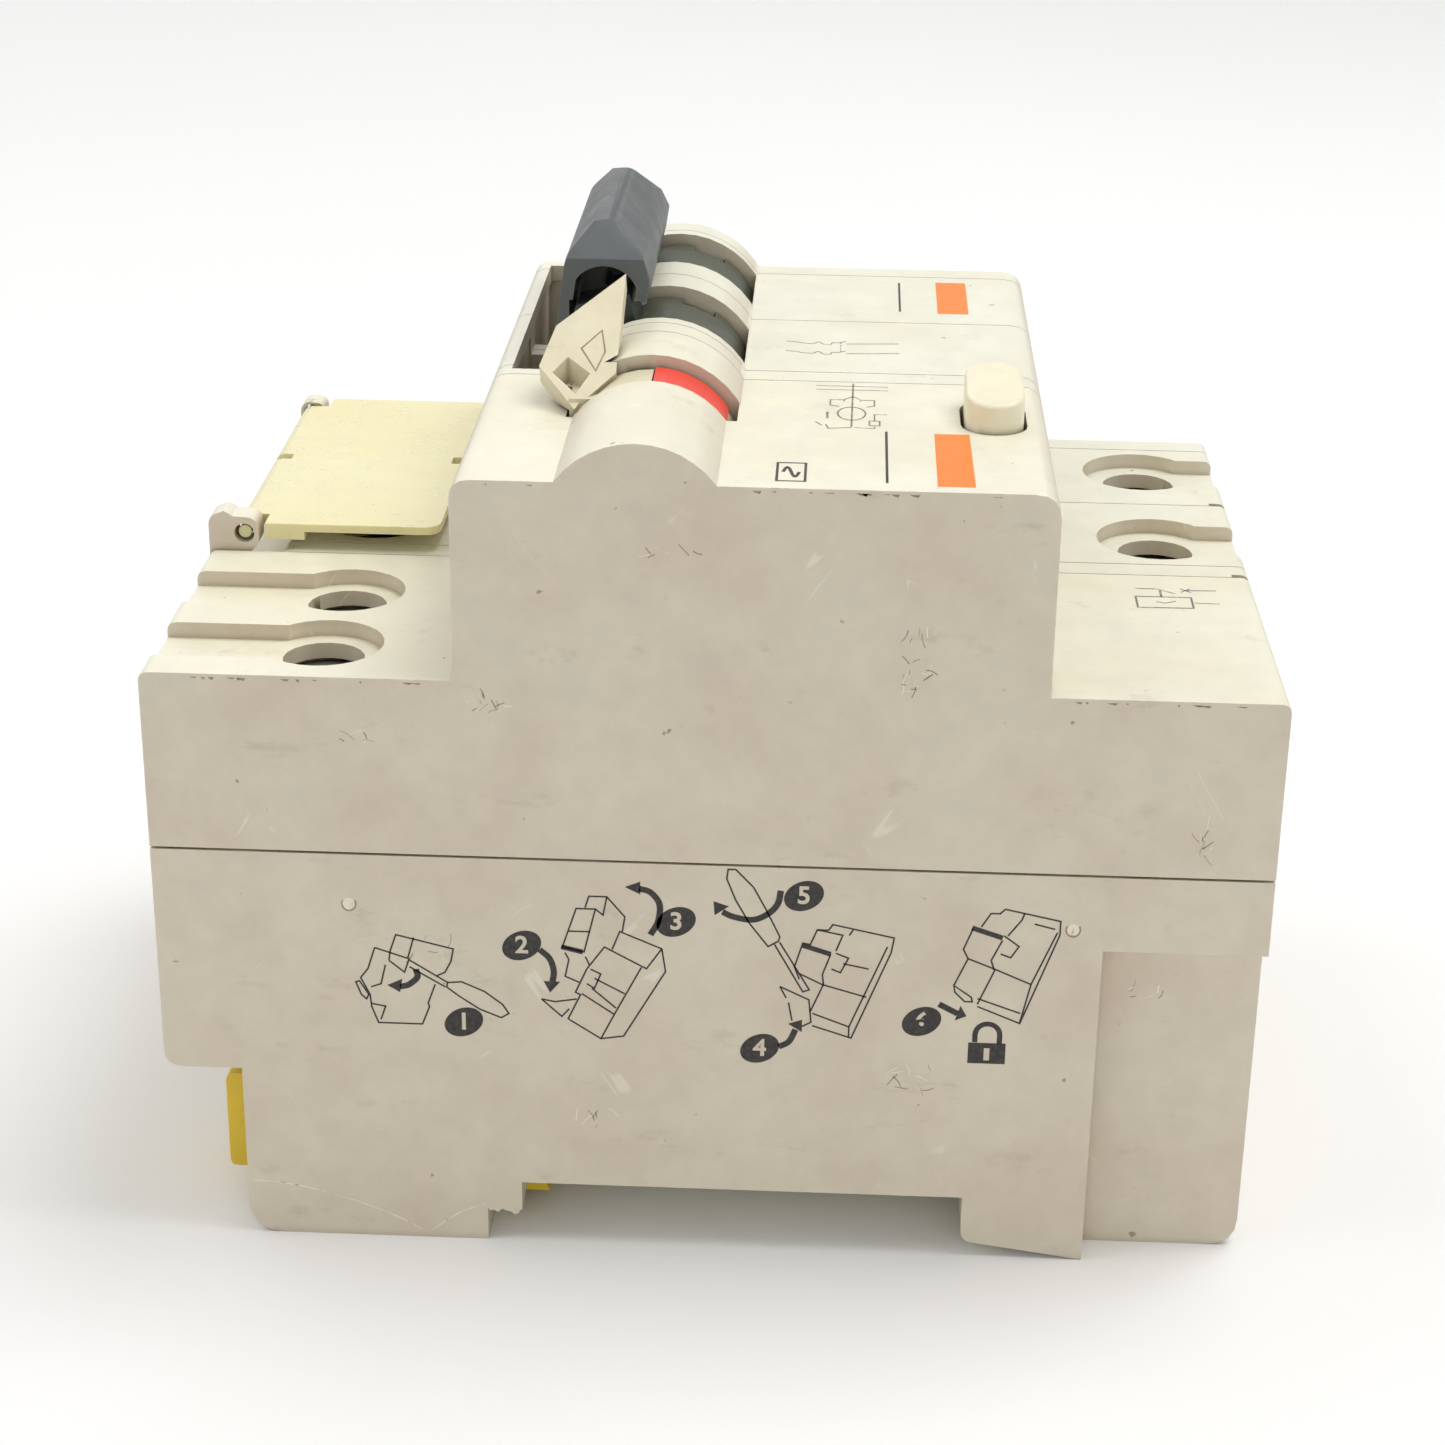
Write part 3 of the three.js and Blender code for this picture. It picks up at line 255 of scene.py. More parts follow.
def metal(name, colour, tarnish, gloss=0.38):
    """Plated or bare metal with brushed lines, dull spots and near-black painted shade in its corners.
    """
    g = Graph(name)
    lines = g.noise(0.9, 4, 0.6, (1, 7, 1))
    spots = g.ramp(g.noise(0.4, 6, 0.65, shift=0.02), 0.45, 0.7)
    shade = g.mix(g.math("MULTIPLY", spots, 0.7), colour, tarnish)
    # Corners and hollows blended toward near black: painted shade.
    shade = g.mix(g.ramp(g.corners(0.8), 0.3, 1, 0, 0.8), shade, rgb(30, 27, 23))
    rough = g.ramp(g.math("ADD", lines, spots), 0.3, 1.7, gloss, gloss + 0.3)
    return g.look(
        {"Base Color": shade, "Roughness": rough, "Normal": g.bump(lines, 0.02, 0.6)},
        {"Metallic": 1.0},
    )


def ink(name, colour, worn, missing=0.62):
    """Printed ink, rubbed through in small patches."""
    g = Graph(name)
    rub = g.ramp(g.noise(0.9, 6, 0.7, shift=0.04), missing, missing + 0.12, 0, 0.75)
    thin = g.ramp(g.noise(3.2, 4, 0.6), 0.35, 0.8, 0, 0.25)
    shade = g.mix(g.math("MAXIMUM", rub, thin), colour, worn)
    return g.look({"Base Color": shade, "Roughness": g.ramp(rub, 0, 1, 0.4, 0.6)})


CREAM_TOP = rgb(236, 233, 214)
CREAM_AGED = rgb(229, 221, 190)
# Side colours: near face and ends painted darker than the top as shade, with a pinker aged hue.
SIDE_SHADE_PALE = rgb(214, 205, 185)
SIDE_SHADE_PINK = rgb(210, 196, 177)
# Brown soiling colour, also used as painted shade in corners.
GRIME_AND_SHADE = rgb(122, 104, 76)

M = {
    "block": moulded("block_plastic", CREAM_TOP, CREAM_AGED, GRIME_AND_SHADE, wear_and_highlight=rgb(238, 233, 214),
                     side=(SIDE_SHADE_PALE, SIDE_SHADE_PINK)),
    # The breaker's side pair below is painted shade too, as on the block.
    "pole": moulded("breaker_plastic", rgb(234, 233, 217), rgb(226, 220, 192), GRIME_AND_SHADE,
                    wear_and_highlight=rgb(240, 237, 222), side=(rgb(216, 207, 187), rgb(209, 195, 174))),
    "flap": moulded("aged_clear_flap", rgb(233, 226, 182), rgb(227, 218, 160), rgb(190, 172, 108), 0.3,
                    wear_and_highlight=rgb(240, 234, 200), soft=0.35, spots=0.05),
    "yellow": moulded("clip_plastic", rgb(226, 194, 44), rgb(212, 176, 34), rgb(96, 74, 16), 0.36,
                      soft=0.15),
    "charcoal": moulded("toggle_plastic", rgb(92, 97, 99), rgb(84, 88, 88), rgb(52, 50, 46), 0.44,
                        wear_and_highlight=rgb(168, 168, 162)),
    "drum": moulded("drum_plastic", rgb(82, 86, 70), rgb(72, 76, 60), rgb(60, 58, 46), 0.46,
                    wear_and_highlight=rgb(160, 164, 152)),
    "handle": moulded("handle_plastic", rgb(52, 56, 54), rgb(44, 48, 44), rgb(28, 26, 22), 0.42,
                      wear_and_highlight=rgb(120, 120, 112)),
    "lever": moulded("lever_plastic", rgb(226, 218, 190), rgb(214, 202, 168), rgb(92, 82, 60), 0.4,
                     wear_and_highlight=rgb(240, 235, 214)),
    "button": moulded("button_plastic", rgb(240, 234, 208), rgb(228, 216, 180), rgb(120, 104, 72), 0.34,
                      wear_and_highlight=rgb(248, 244, 226), soft=0.1),
    "red": moulded("flag_plastic", rgb(244, 74, 56), rgb(228, 64, 48), rgb(120, 34, 26), 0.36),
    "steel": metal("zinc_steel", rgb(168, 166, 156), rgb(108, 104, 92)),
    "copper": metal("dull_copper", rgb(190, 126, 88), rgb(112, 76, 54)),
    "green": moulded("board_resin", rgb(34, 92, 52), rgb(30, 80, 44), rgb(24, 40, 26), 0.4),
    "black": moulded("black_plastic", rgb(34, 34, 34), rgb(42, 42, 40), rgb(20, 20, 18), 0.42),
    "core": moulded("core_strip", rgb(88, 90, 94), rgb(74, 76, 80), rgb(40, 40, 40), 0.36),
    "ink": ink("black_ink", rgb(26, 24, 24), rgb(120, 112, 100), 0.66),
    "faint_ink": ink("grey_ink", rgb(104, 100, 92), rgb(206, 200, 180), 0.5),
    "orange": ink("orange_ink", rgb(240, 128, 20), rgb(246, 180, 100), 0.66),
    "scuff": ink("scuff_brown", rgb(142, 120, 98), rgb(188, 172, 150), 0.5),
    "pale": ink("scraped_plastic", rgb(236, 228, 206), rgb(214, 204, 184), 0.55),
    "ochre": ink("socket_ochre", rgb(126, 100, 44), rgb(96, 76, 34), 0.5),
    # Bare plastic of the digits and keyhole, in the near face's painted shade tone.
    "digit": ink("bare_digit_side_shade", rgb(208, 198, 178), rgb(190, 178, 158), 0.7),
}


# ------------------------------------------------------------------- mesh helpers
def new_object(name, bm, material, body):
    """An object from a bmesh, riding on a body."""
    mesh = bpy.data.meshes.new(name)
    bmesh.ops.recalc_face_normals(bm, faces=bm.faces)
    bm.to_mesh(mesh)
    bm.free()
    mesh.materials.append(material)
    made = bpy.data.objects.new(name, mesh)
    bpy.context.scene.collection.objects.link(made)
    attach(made, body)
    return made


def smooth(made, angle=SHARP):
    for face in made.data.polygons:
        face.use_smooth = True
    made.data.set_sharp_from_angle(angle=angle)
    weighted = made.modifiers.new("even_normals", "WEIGHTED_NORMAL")
    weighted.keep_sharp = True
    return made


def body_of(node):
    for body, empty in frame["bodies"].items():
        if frame["nodes"][node].parent == empty:
            return body
    raise KeyError(node)


def clean_copy(node):
    """A node's mesh with its split vertices joined and its flat triangles merged."""
    bm = bmesh.new()
    bm.from_mesh(frame["nodes"][node].data)
    bmesh.ops.remove_doubles(bm, verts=bm.verts, dist=0.002 * MM)
    bmesh.ops.dissolve_limit(
        bm, angle_limit=math.radians(1.2), verts=bm.verts, edges=bm.edges, use_dissolve_boundaries=False
    )
    return bm


def all_nodes_tree():
    """One search tree over every CAD node."""
    points, faces = [], []
    for item in frame["nodes"].values():
        start = len(points)
        points.extend(v.co.copy() for v in item.data.vertices)
        faces.extend(tuple(start + i for i in p.vertices) for p in item.data.polygons)
    return BVHTree.FromPolygons(points, faces)


TREE = all_nodes_tree()
RAYS = [
    Vector((x, y, z)).normalized()
    for x in (-1, 0, 1) for y in (-1, 0, 1) for z in (-1, 0, 1) if (x, y, z) != (0, 0, 0)
]


def shows(edge):
    """True if light from outside the object can reach the edge."""
    middle = (edge.verts[0].co + edge.verts[1].co) / 2
    outward = (edge.link_faces[0].normal + edge.link_faces[1].normal).normalized()
    start = middle + outward * 0.12 * MM
    return any(ray.dot(outward) > -0.2 and TREE.ray_cast(start, ray)[0] is None for ray in RAYS)


def round_edges(bm, width, segments=2, least=0.5):
    """Rounds the visible outer edges that are long enough for it."""
    picked = []
    for edge in bm.edges:
        if len(edge.link_faces) != 2 or not edge.is_convex:
            continue
        if edge.calc_face_angle(0) < SHARP or edge.calc_length() < least * MM or not shows(edge):
            continue
        picked.append(edge)
    bmesh.ops.bevel(
        bm, geom=picked, offset=width * MM, offset_type="OFFSET", segments=segments, profile=0.5,
        affect="EDGES", clamp_overlap=True, miter_outer="ARC", loop_slide=True,
    )


def fill_gaps(bm, node):
    """Moves a housing half's parting planes a little towards its neighbours."""
    low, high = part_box(node)
    far_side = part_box("pole_2_side_cover")[1].y
    for v in bm.verts:
        if abs(v.co.y - low.y) < 0.01 * MM:
            v.co.y += SKIN * MM if low.y < CORNER.y + 0.1 * MM else -SEAM * MM
        elif abs(v.co.y - high.y) < 0.01 * MM and high.y < far_side - 0.1 * MM:
            v.co.y += SEAM * MM
        if node == "rcd_cover" and abs(v.co.z - low.z) < 0.01 * MM:
            v.co.z -= SEAM * MM
        if node == "rcd_base" and abs(v.co.z - high.z) < 0.01 * MM:
            v.co.z += SEAM * MM


def refined(node, name, material, width=0.22, segments=2, housing=False):
    """A finished piece that stands for a CAD node: the same shape with rounded edges."""
    bm = clean_copy(node)
    if housing:
        fill_gaps(bm, node)
    round_edges(bm, width, segments)
    made = new_object(name, bm, M[material], body_of(node))
    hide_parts(node)
    return smooth(made)


def ribbon(bm, points, width, thick=INK):
    """A flat closed strip along points, in millimetres on a drawing plane."""
    flat = [Vector(p) for p in points]
    loop = (flat[0] - flat[-1]).length < 1e-6
    if loop:
        flat = flat[:-1]
    count = len(flat)
    rows = []
    for i, p in enumerate(flat):
        before = flat[i - 1] if (i or loop) else None
        after = flat[(i + 1) % count] if (i + 1 < count or loop) else None
        steps = ((p - before) if before else None, (after - p) if after else None)
        dirs = [step.normalized() for step in steps if step]
        along = sum(dirs, Vector((0, 0))).normalized() if len(dirs) == 2 else dirs[0]
        side = Vector((-along.y, along.x))
        reach = width / 2 / max(0.5, abs(side.dot(Vector((-dirs[0].y, dirs[0].x)))))
        ends = (p + side * reach, p - side * reach)
        rows.append([bm.verts.new((q.x, q.y, z)) for z in (0, thick) for q in ends])
    pairs = [(i, (i + 1) % count) for i in range(count if loop else count - 1)]
    for i, j in pairs:
        a, b = rows[i], rows[j]
        for m, n in ((0, 1), (1, 3), (3, 2), (2, 0)):
            bm.faces.new((a[m], a[n], b[n], b[m]))
    if not loop:
        for r in (rows[0], rows[-1]):
            bm.faces.new((r[0], r[1], r[3], r[2]))


def close_between(bm, outlines):
    """A closed solid between two outlines with the same number of points."""
    first, second = [[bm.verts.new(p) for p in outline] for outline in outlines]
    bm.faces.new(first)
    bm.faces.new(second)
    for i in range(len(first)):
        j = (i + 1) % len(first)
        bm.faces.new((first[i], first[j], second[j], second[i]))


def patch(bm, points, thick=INK):
    """A filled flat shape with a little thickness."""
    close_between(bm, [[(x, y, z) for x, y in points] for z in (0, thick)])


def oval(cx, cy, rx, ry, tilt=0.0, sides=40):
    turn = Matrix.Rotation(math.radians(tilt), 2)
    spin = [2 * math.pi * i / sides for i in range(sides)]
    return [tuple(Vector((cx, cy)) + turn @ Vector((rx * math.cos(a), ry * math.sin(a)))) for a in spin]


def curve_through(points, per=6):
    """A smooth run of points through the given ones."""
    pts = [Vector(p) for p in points]
    pts = [2 * pts[0] - pts[1], *pts, 2 * pts[-1] - pts[-2]]
    made = []
    for a, b, c, d in zip(pts, pts[1:], pts[2:], pts[3:]):
        for k in range(per):
            t = k / per
            made.append(0.5 * (2 * b + (c - a) * t + (2 * a - 5 * b + 4 * c - d) * t * t
                               + (3 * b - a - 3 * c + d) * t ** 3))
    return [tuple(p) for p in made] + [tuple(pts[-2])]


def lay(bm, where):
    """Turns a drawing plane in millimetres onto a face of the object."""
    if where == "near":
        turn = Matrix(((1, 0, 0), (0, 0, -1), (0, 1, 0)))
        base = at(0, SKIN + 0.005, 0)
    else:
        turn = Matrix.Identity(3)
        base = at(0, 0, where - 0.005)
    for v in bm.verts:
        v.co = turn @ (v.co * MM) + base


def panel(x0, x1, y0, y1, thick=INK):
    """What draws a filled rectangle."""
    return lambda bm: patch(bm, [(x0, y0), (x1, y0), (x1, y1), (x0, y1)], thick)


def printed(name, draw, where, material="ink"):
    """A print on a face, drawn by draw(bm)."""
    bm = bmesh.new()
    draw(bm)
    lay(bm, where)
    return new_object(name, bm, M[material], "housing")


# -------------------------------------------------------------------- the housing
def make_housing():
    refined("rcd_cover", "block_cover_shell", "block", housing=True)
    refined("rcd_base", "block_base_shell", "block", housing=True)
    for pole in (1, 2):
        for part in ("case", "side_cover"):
            node = f"pole_{pole}_{part}"
            refined(node, f"breaker_{pole}_{part}_shell", "pole", housing=True)


def make_moving_parts():
    refined("terminal_flap", "flap_shell", "flap", 0.25)
    refined("toggle_cap", "toggle_cap_shell", "charcoal", 0.3, 3)
    refined("reset_lever", "reset_lever_shell", "lever", 0.2)
    refined("test_button", "test_button_shell", "button", 0.35, 3)
    for pole in (1, 2):
        made = refined(f"pole_{pole}_toggle", f"toggle_{pole}_shell", "drum", 0.15)
        darken_handle(made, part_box(f"pole_{pole}_toggle")[1].y)


def darken_handle(made, far_y):
    """A toggle's handle is darker than its drum, and the notch in the drum's rim is painted black as
    shade.
    """
    made.data.materials.append(M["handle"])
    made.data.materials.append(M["black"])
    for face in made.data.polygons:
        off = (face.center - CORNER) / MM - Vector((AXIS[0], 0, AXIS[1]))
        radius = math.hypot(off.x, off.z)
        notched = NOTCH_FLOOR_R < radius < DRUM_R - 0.12 and off.x > 1
        if radius > DRUM_R + 0.4:
            face.material_index = 1
        # Faces inside the notch get black: painted shade for the hole.
        elif notched and face.center.y > far_y - NOTCH_REACH * MM:
            face.material_index = 2


def dress_nodes():
    """Materials for the CAD nodes that stay as they are."""
    kinds = {
        "clip_yellow": "yellow", "flag_red": "red", "steel": "steel", "copper": "copper",
        "board_green": "green", "relay_black": "black", "core_grey": "core",
    }
    for row in frame["record"]["subparts"]:
        item = frame["nodes"][row["node"]]
        kind = kinds.get(row["material_slot"])
        if kind is None:
            continue
        item.data.materials.clear()
        item.data.materials.append(M[kind])
        for face in item.data.polygons:
            face.use_smooth = True
        item.data.set_sharp_from_angle(angle=SHARP)


# --------------------------------------------------------------------- the prints
DRAWINGS = {
    "release_drawing": ((15.5, 19.7), [
        [(1.8, 6.9), (1.2, 5.0), (0.6, 4.2), (1.3, 2.7), (1.4, 1.6), (1.9, 0.2), (5.4, 0.2), (6.0, 1.8),
         (5.9, 2.1), (6.5, 3.8)],
        [(1.8, 6.9), (3.0, 6.5)],
        [(2.9, 5.8), (3.0, 6.6), (3.5, 8.1), (8.0, 7.0), (7.8, 5.9), (7.3, 4.9), (6.7, 4.6)],
        [(4.9, 7.9), (4.4, 6.1)],
        [(0.2, 3.8), (0.5, 3.9), (1.2, 2.7), (1.0, 2.3), (0.6, 2.7), (0.2, 3.8)],
        [(3.0, 6.5), (4.5, 6.0), (4.1, 4.8), (2.9, 5.8)],
        [(2.6, 5.4), (2.2, 3.7), (1.4, 3.4)],
        [(1.4, 1.9), (2.5, 1.7), (2.1, 0.5)],
        [(4.5, 5.9), (7.5, 4.0)],
        [(4.5, 5.3), (7.3, 3.6)],
        [(7.5, 4.0), (8.6, 4.1), (10.4, 3.3), (11.8, 2.2), (12.3, 1.4), (11.7, 1.0), (10.0, 1.7),
         (8.4, 2.8), (7.4, 3.6), (7.5, 4.0)],
    ]),
    "joining_drawing": ((30.4, 18.9), [
        [(3.5, 11.8), (3.8, 12.8), (5.2, 12.8), (6.6, 11.1), (6.4, 9.8)],
        [(5.2, 12.8), (4.9, 11.2), (4.3, 11.7)],
        [(2.8, 11.7), (4.3, 11.7), (3.4, 7.9), (1.7, 8.3), (2.8, 11.7)],
        [(2.2, 9.7), (3.9, 9.7)],
        [(1.9, 7.8), (2.2, 7.2), (1.9, 5.7), (3.0, 5.2)],
        [(3.5, 7.5), (3.8, 6.8)],
        [(5.6, 8.2), (6.2, 9.8), (9.5, 8.4), (9.8, 6.4), (6.5, 0.5), (4.7, 0.2), (2.1, 1.9), (3.1, 4.1),
         (2.7, 4.3), (3.6, 6.4), (5.0, 8.4), (8.3, 6.6), (9.5, 8.4)],
        [(7.9, 6.7), (5.8, 2.5), (4.7, 0.2)],
        [(4.2, 5.6), (6.6, 4.3)],
        [(4.0, 4.7), (5.9, 3.0)],
        [(3.2, 4.2), (5.8, 2.4)],
        [(3.9, 6.4), (4.7, 6.0), (4.2, 4.7), (3.6, 5.1)],
        [(0.0, 3.6), (1.1, 3.4), (2.8, 3.7)],
        [(0.0, 3.6), (1.6, 2.1), (2.2, 2.8)],
    ]),
    "fixing_drawing": ((45.1, 19.5), [
        [(-0.2, 14.1), (-0.1, 14.9), (0.5, 14.9), (1.9, 13.4), (2.9, 11.5), (4.0, 9.2), (3.9, 8.8),
         (3.1, 8.3), (1.6, 10.3), (0.5, 12.3), (-0.2, 14.1)],
        [(3.6, 8.5), (5.9, 4.4), (6.4, 4.6), (4.0, 8.7)],
        [(7.8, 9.9), (8.1, 10.4), (12.9, 9.4), (12.7, 8.1), (9.8, 0.4), (6.7, 1.4)],
        [(7.8, 9.9), (6.9, 9.9), (6.4, 8.6), (5.8, 8.7), (5.2, 6.6), (5.6, 5.5)],
        [(6.9, 9.9), (8.9, 9.5), (8.4, 8.1)],
        [(9.7, 10.0), (9.4, 9.5)],
        [(8.0, 7.8), (7.4, 6.0), (7.5, 5.1), (6.5, 2.6)],
        [(5.6, 6.0), (7.4, 5.1), (10.9, 4.1)],
        [(6.7, 2.5), (9.6, 1.4), (12.4, 8.6)],
        [(9.6, 1.4), (9.6, 0.4)],
        [(8.4, 7.9), (9.4, 7.5), (8.8, 6.2), (8.1, 6.5)],
        [(9.0, 7.0), (11.0, 6.6)],
        [(4.1, 4.8), (6.4, 3.7), (6.6, 1.7), (5.9, 1.3)],
        [(4.8, 3.4), (5.1, 1.8)],
        [(4.1, 4.8), (4.6, 3.8)],
    ]),
    "locked_drawing": ((62.9, 21.5), [
        [(2.5, 9.8), (3.2, 9.8), (3.6, 10.2), (7.9, 9.3), (7.9, 8.1), (5.2, 0.2), (1.8, 1.6)],
        [(2.5, 9.8), (1.8, 8.6)],
        [(5.1, 9.9), (4.9, 9.3), (3.9, 7.9)],
        [(1.2, 8.5), (0.5, 6.6), (0.9, 5.8), (-0.1, 3.4)],
        [(3.5, 7.5), (2.7, 5.7), (3.0, 4.8), (1.8, 1.8)],
        [(3.6, 7.9), (4.8, 7.0), (4.2, 6.0), (3.4, 6.3)],
        [(0.9, 5.8), (2.9, 5.0), (5.9, 3.7)],
        [(1.8, 2.3), (5.2, 1.1)],
        [(7.7, 8.3), (5.9, 3.7), (5.2, 0.3)],
        [(5.9, 9.0), (7.5, 8.6)],
        [(-0.1, 3.4), (1.3, 2.4), (1.4, 2.0), (0.8, 2.0), (0.0, 2.8), (-0.1, 3.4)],
    ]),
}

# Where each step's oval, digit and arrow are on the near face: oval centre, arrow line, arrow head.
STEPS = [
    ((24.2, 20.2), [(20.5, 24.8), (20.6, 24.1), (19.9, 23.4), (19.2, 23.2)],
     [(18.2, 23.3), (19.4, 23.9), (19.2, 22.7)]),
    ((28.9, 27.2), [(30.3, 26.9), (31.1, 26.1), (31.4, 25.0), (31.3, 24.1)],
     [(30.6, 24.1), (31.9, 24.1), (31.1, 23.1)]),
    ((41.0, 29.7), [(39.0, 28.5), (39.6, 29.7), (39.7, 31.2), (39.0, 32.2), (38.1, 32.5)],
     [(37.0, 32.6), (38.2, 33.1), (38.2, 32.0)]),
    ((47.7, 18.7), [(49.2, 18.9), (50.0, 19.4), (50.5, 20.5)],
     [(49.9, 21.0), (51.0, 21.4), (51.0, 20.3)]),
    ((50.9, 32.3), [(49.1, 32.7), (48.9, 31.6), (48.2, 30.7), (47.0, 30.1), (45.5, 30.3), (44.6, 30.7)],
     [(43.9, 31.6), (45.1, 31.2), (44.0, 30.4)]),
    ((60.4, 21.6), [(61.7, 23.2), (63.2, 22.4)],
     [(63.4, 23.1), (63.9, 22.2), (63.0, 21.8)]),
]
BARS = [[(32.0, 27.2), (33.7, 26.8)], [(50.9, 28.0), (53.1, 27.3)], [(64.0, 30.0), (66.4, 29.2)]]


def draw_step_lines(bm, origin, strokes):
    for stroke in strokes:
        ribbon(bm, [(x + origin[0], y + origin[1]) for x, y in stroke], 0.13)


def draw_marks(bm):
    """The filled ovals, arrows, thick bars and the padlock."""
    for centre, line, head in STEPS:
        patch(bm, oval(*centre, 1.62, 1.22, 28))
        ribbon(bm, curve_through(line), 0.5)
        patch(bm, head)
    for bar in BARS:
        ribbon(bm, bar, 0.42)
    patch(bm, [(64.15, 18.0), (67.1, 18.0), (67.1, 19.85), (64.15, 19.85)])
    shackle = [(65.62 + 0.97 * math.cos(a), 20.6 + 0.97 * math.sin(a))
               for a in (math.pi * i / 12 for i in range(13))]
    ribbon(bm, [(66.59, 19.8), *shackle, (64.65, 19.9)], 0.42)


def make_digits():
    """The step numbers, bare plastic inside the ovals in the near face's painted shade tone, and the
    padlock's keyhole.
    """
    for number, (centre, _, _) in enumerate(STEPS, 1):
        data = bpy.data.curves.new(f"step_digit_{number}", "FONT")
        data.body = str(number)
        data.align_x = data.align_y = "CENTER"
        data.size = 2.1
        data.offset = 0.05
        data.extrude = INK * 0.5
        temp = bpy.data.objects.new("digit_source", data)
        bpy.context.scene.collection.objects.link(temp)
        bpy.context.view_layer.update()
        shaped = temp.evaluated_get(bpy.context.evaluated_depsgraph_get())
        mesh = bpy.data.meshes.new_from_object(shaped)
        bpy.data.objects.remove(temp)
        bm = bmesh.new()
        bm.from_mesh(mesh)
        bmesh.ops.translate(bm, verts=bm.verts, vec=(*centre, INK * 0.8))
        lay(bm, "near")
        new_object(f"step_digit_{number}", bm, M["digit"], "housing")
    printed("padlock_keyhole", panel(65.4, 65.85, 18.3, 19.4, INK * 1.3), "near", "digit")


def draw_block_diagram(bm):
    """The block's wiring: two conductors through a ring, a coil and a test circuit."""
    for y in (25.8, 24.8):
        ribbon(bm, [(50.6, y), (56.4, y)], 0.1)
    ribbon(bm, [(53.6, 26.5), (53.5, 15.1)], 0.14)
    ribbon(bm, [(52.9, 21.7), (52.9, 22.2), (53.6, 23.0), (54.2, 22.2), (54.2, 21.7)], 0.12)
    ribbon(bm, [(52.5, 20.3), (51.8, 20.6), (51.8, 22.1), (52.8, 22.1)], 0.13)
    ribbon(bm, [(54.3, 22.1), (55.3, 22.1), (55.3, 20.6), (54.7, 20.3)], 0.13)
    ring = oval(53.5, 18.5, 1.1, 1.7, 0, 28)
    ribbon(bm, [*ring, ring[0]], 0.15)
    ribbon(bm, [(51.6, 18.8), (51.6, 17.2)], 0.2)
    ribbon(bm, [(51.5, 15.6), (51.7, 14.6), (53.5, 14.9)], 0.13)
    ribbon(bm, [(50.7, 16.2), (51.2, 15.3)], 0.12)
    ribbon(bm, [(53.7, 14.9), (55.3, 14.8), (55.3, 15.5)], 0.1)
    ribbon(bm, [(54.9, 15.5), (55.7, 15.5), (55.7, 16.7), (54.9, 16.7), (54.9, 15.5)], 0.13)
    ribbon(bm, [(55.3, 16.7), (55.3, 18.4), (56.3, 18.4)], 0.11)


def draw_breaker_diagram(bm):
    """Two contacts with their thermal and magnetic trips, tied by a dashed link."""
    left = [(47.9, 38.5), (48.8, 38.3), (49.3, 38.0), (50.2, 37.9), (50.5, 38.4), (50.8, 38.3),
            (51.0, 37.8), (51.6, 37.7), (51.8, 38.3), (52.3, 38.3), (52.9, 38.8)]
    for drop in (0.0, 2.9):
        ribbon(bm, curve_through([(x, y - drop) for x, y in left], 3), 0.11)
        ribbon(bm, [(53.0, 38.0 - drop), (57.4, 38.4 - drop)], 0.13)
    for y in (38.4, 37.6, 36.8, 36.0):
        ribbon(bm, [(52.5, y), (52.5, y - 0.45)], 0.09)


def draw_shoulder_diagram(bm):
    """Contact, cross and coil box on the line-end shoulder."""
    ribbon(bm, [(77.2, 23.8), (79.0, 23.8), (80.4, 22.8)], 0.14)
    ribbon(bm, [(80.9, 23.2), (81.7, 24.0)], 0.12)
    ribbon(bm, [(80.9, 24.0), (81.7, 23.2)], 0.12)
    ribbon(bm, [(81.3, 23.6), (83.8, 23.7)], 0.14)
    ribbon(bm, [(79.2, 23.5), (79.2, 22.0)], 0.2)
    ribbon(bm, [(77.1, 22.0), (81.6, 22.0), (81.6, 19.6), (77.1, 19.5), (77.1, 22.0)], 0.17)
    ribbon(bm, [(78.7, 20.9), (79.4, 20.6), (80.3, 21.1)], 0.12)
    ribbon(bm, [(81.8, 20.8), (83.8, 20.7)], 0.12)


def draw_wave_box(bm):
    """The sine wave in a box that marks the alternating-current type."""
    box = [(48.06, 1.7), (50.16, 1.7), (50.16, 5.9), (48.06, 5.9), (48.06, 1.7)]
    ribbon(bm, box, 0.2)
    wave = [(48.5 + 1.2 * k / 16, 3.8 + 1.1 * math.sin(2 * math.pi * k / 16)) for k in range(17)]
    ribbon(bm, wave, 0.26)


def draw_rules(bm):
    ribbon(bm, [(56.2, 1.8), (56.2, 14.1)], 0.2)
    ribbon(bm, [(57.6, 48.6), (57.6, 58.2)], 0.18)


def make_prints():
    for name, (origin, strokes) in DRAWINGS.items():
        printed(name, lambda bm, o=origin, s=strokes: draw_step_lines(bm, o, s), "near")
    printed("step_marks", draw_marks, "near")
    make_digits()
    printed("block_diagram", draw_block_diagram, FRONT, "faint_ink")
    printed("breaker_diagram", draw_breaker_diagram, FRONT, "faint_ink")
    printed("shoulder_diagram", draw_shoulder_diagram, SHOULDER, "faint_ink")
    printed("wave_box", draw_wave_box, FRONT)
    printed("rules", draw_rules, FRONT)
    block_label = [(59.9, 1.3), (62.7, 1.3), (62.6, 13.8), (59.9, 13.8)]
    printed("orange_block_label", lambda bm: patch(bm, block_label), FRONT, "orange")
    printed("orange_pole_label", panel(60.9, 63.6, 48.2, 58.6), FRONT, "orange")


# ---------------------------------------------------------------- marks and scars
FLOW_LINES = [
    [(6.6, 4.9), (9.8, 4.6), (13.2, 3.8), (17.4, 2.3), (20.4, 0.7)],
    [(21.2, 0.7), (23.4, 2.4), (25.6, 3.4)],
]
EJECTOR_MARKS = [(15.4, 30.4), (71.8, 30.1)]

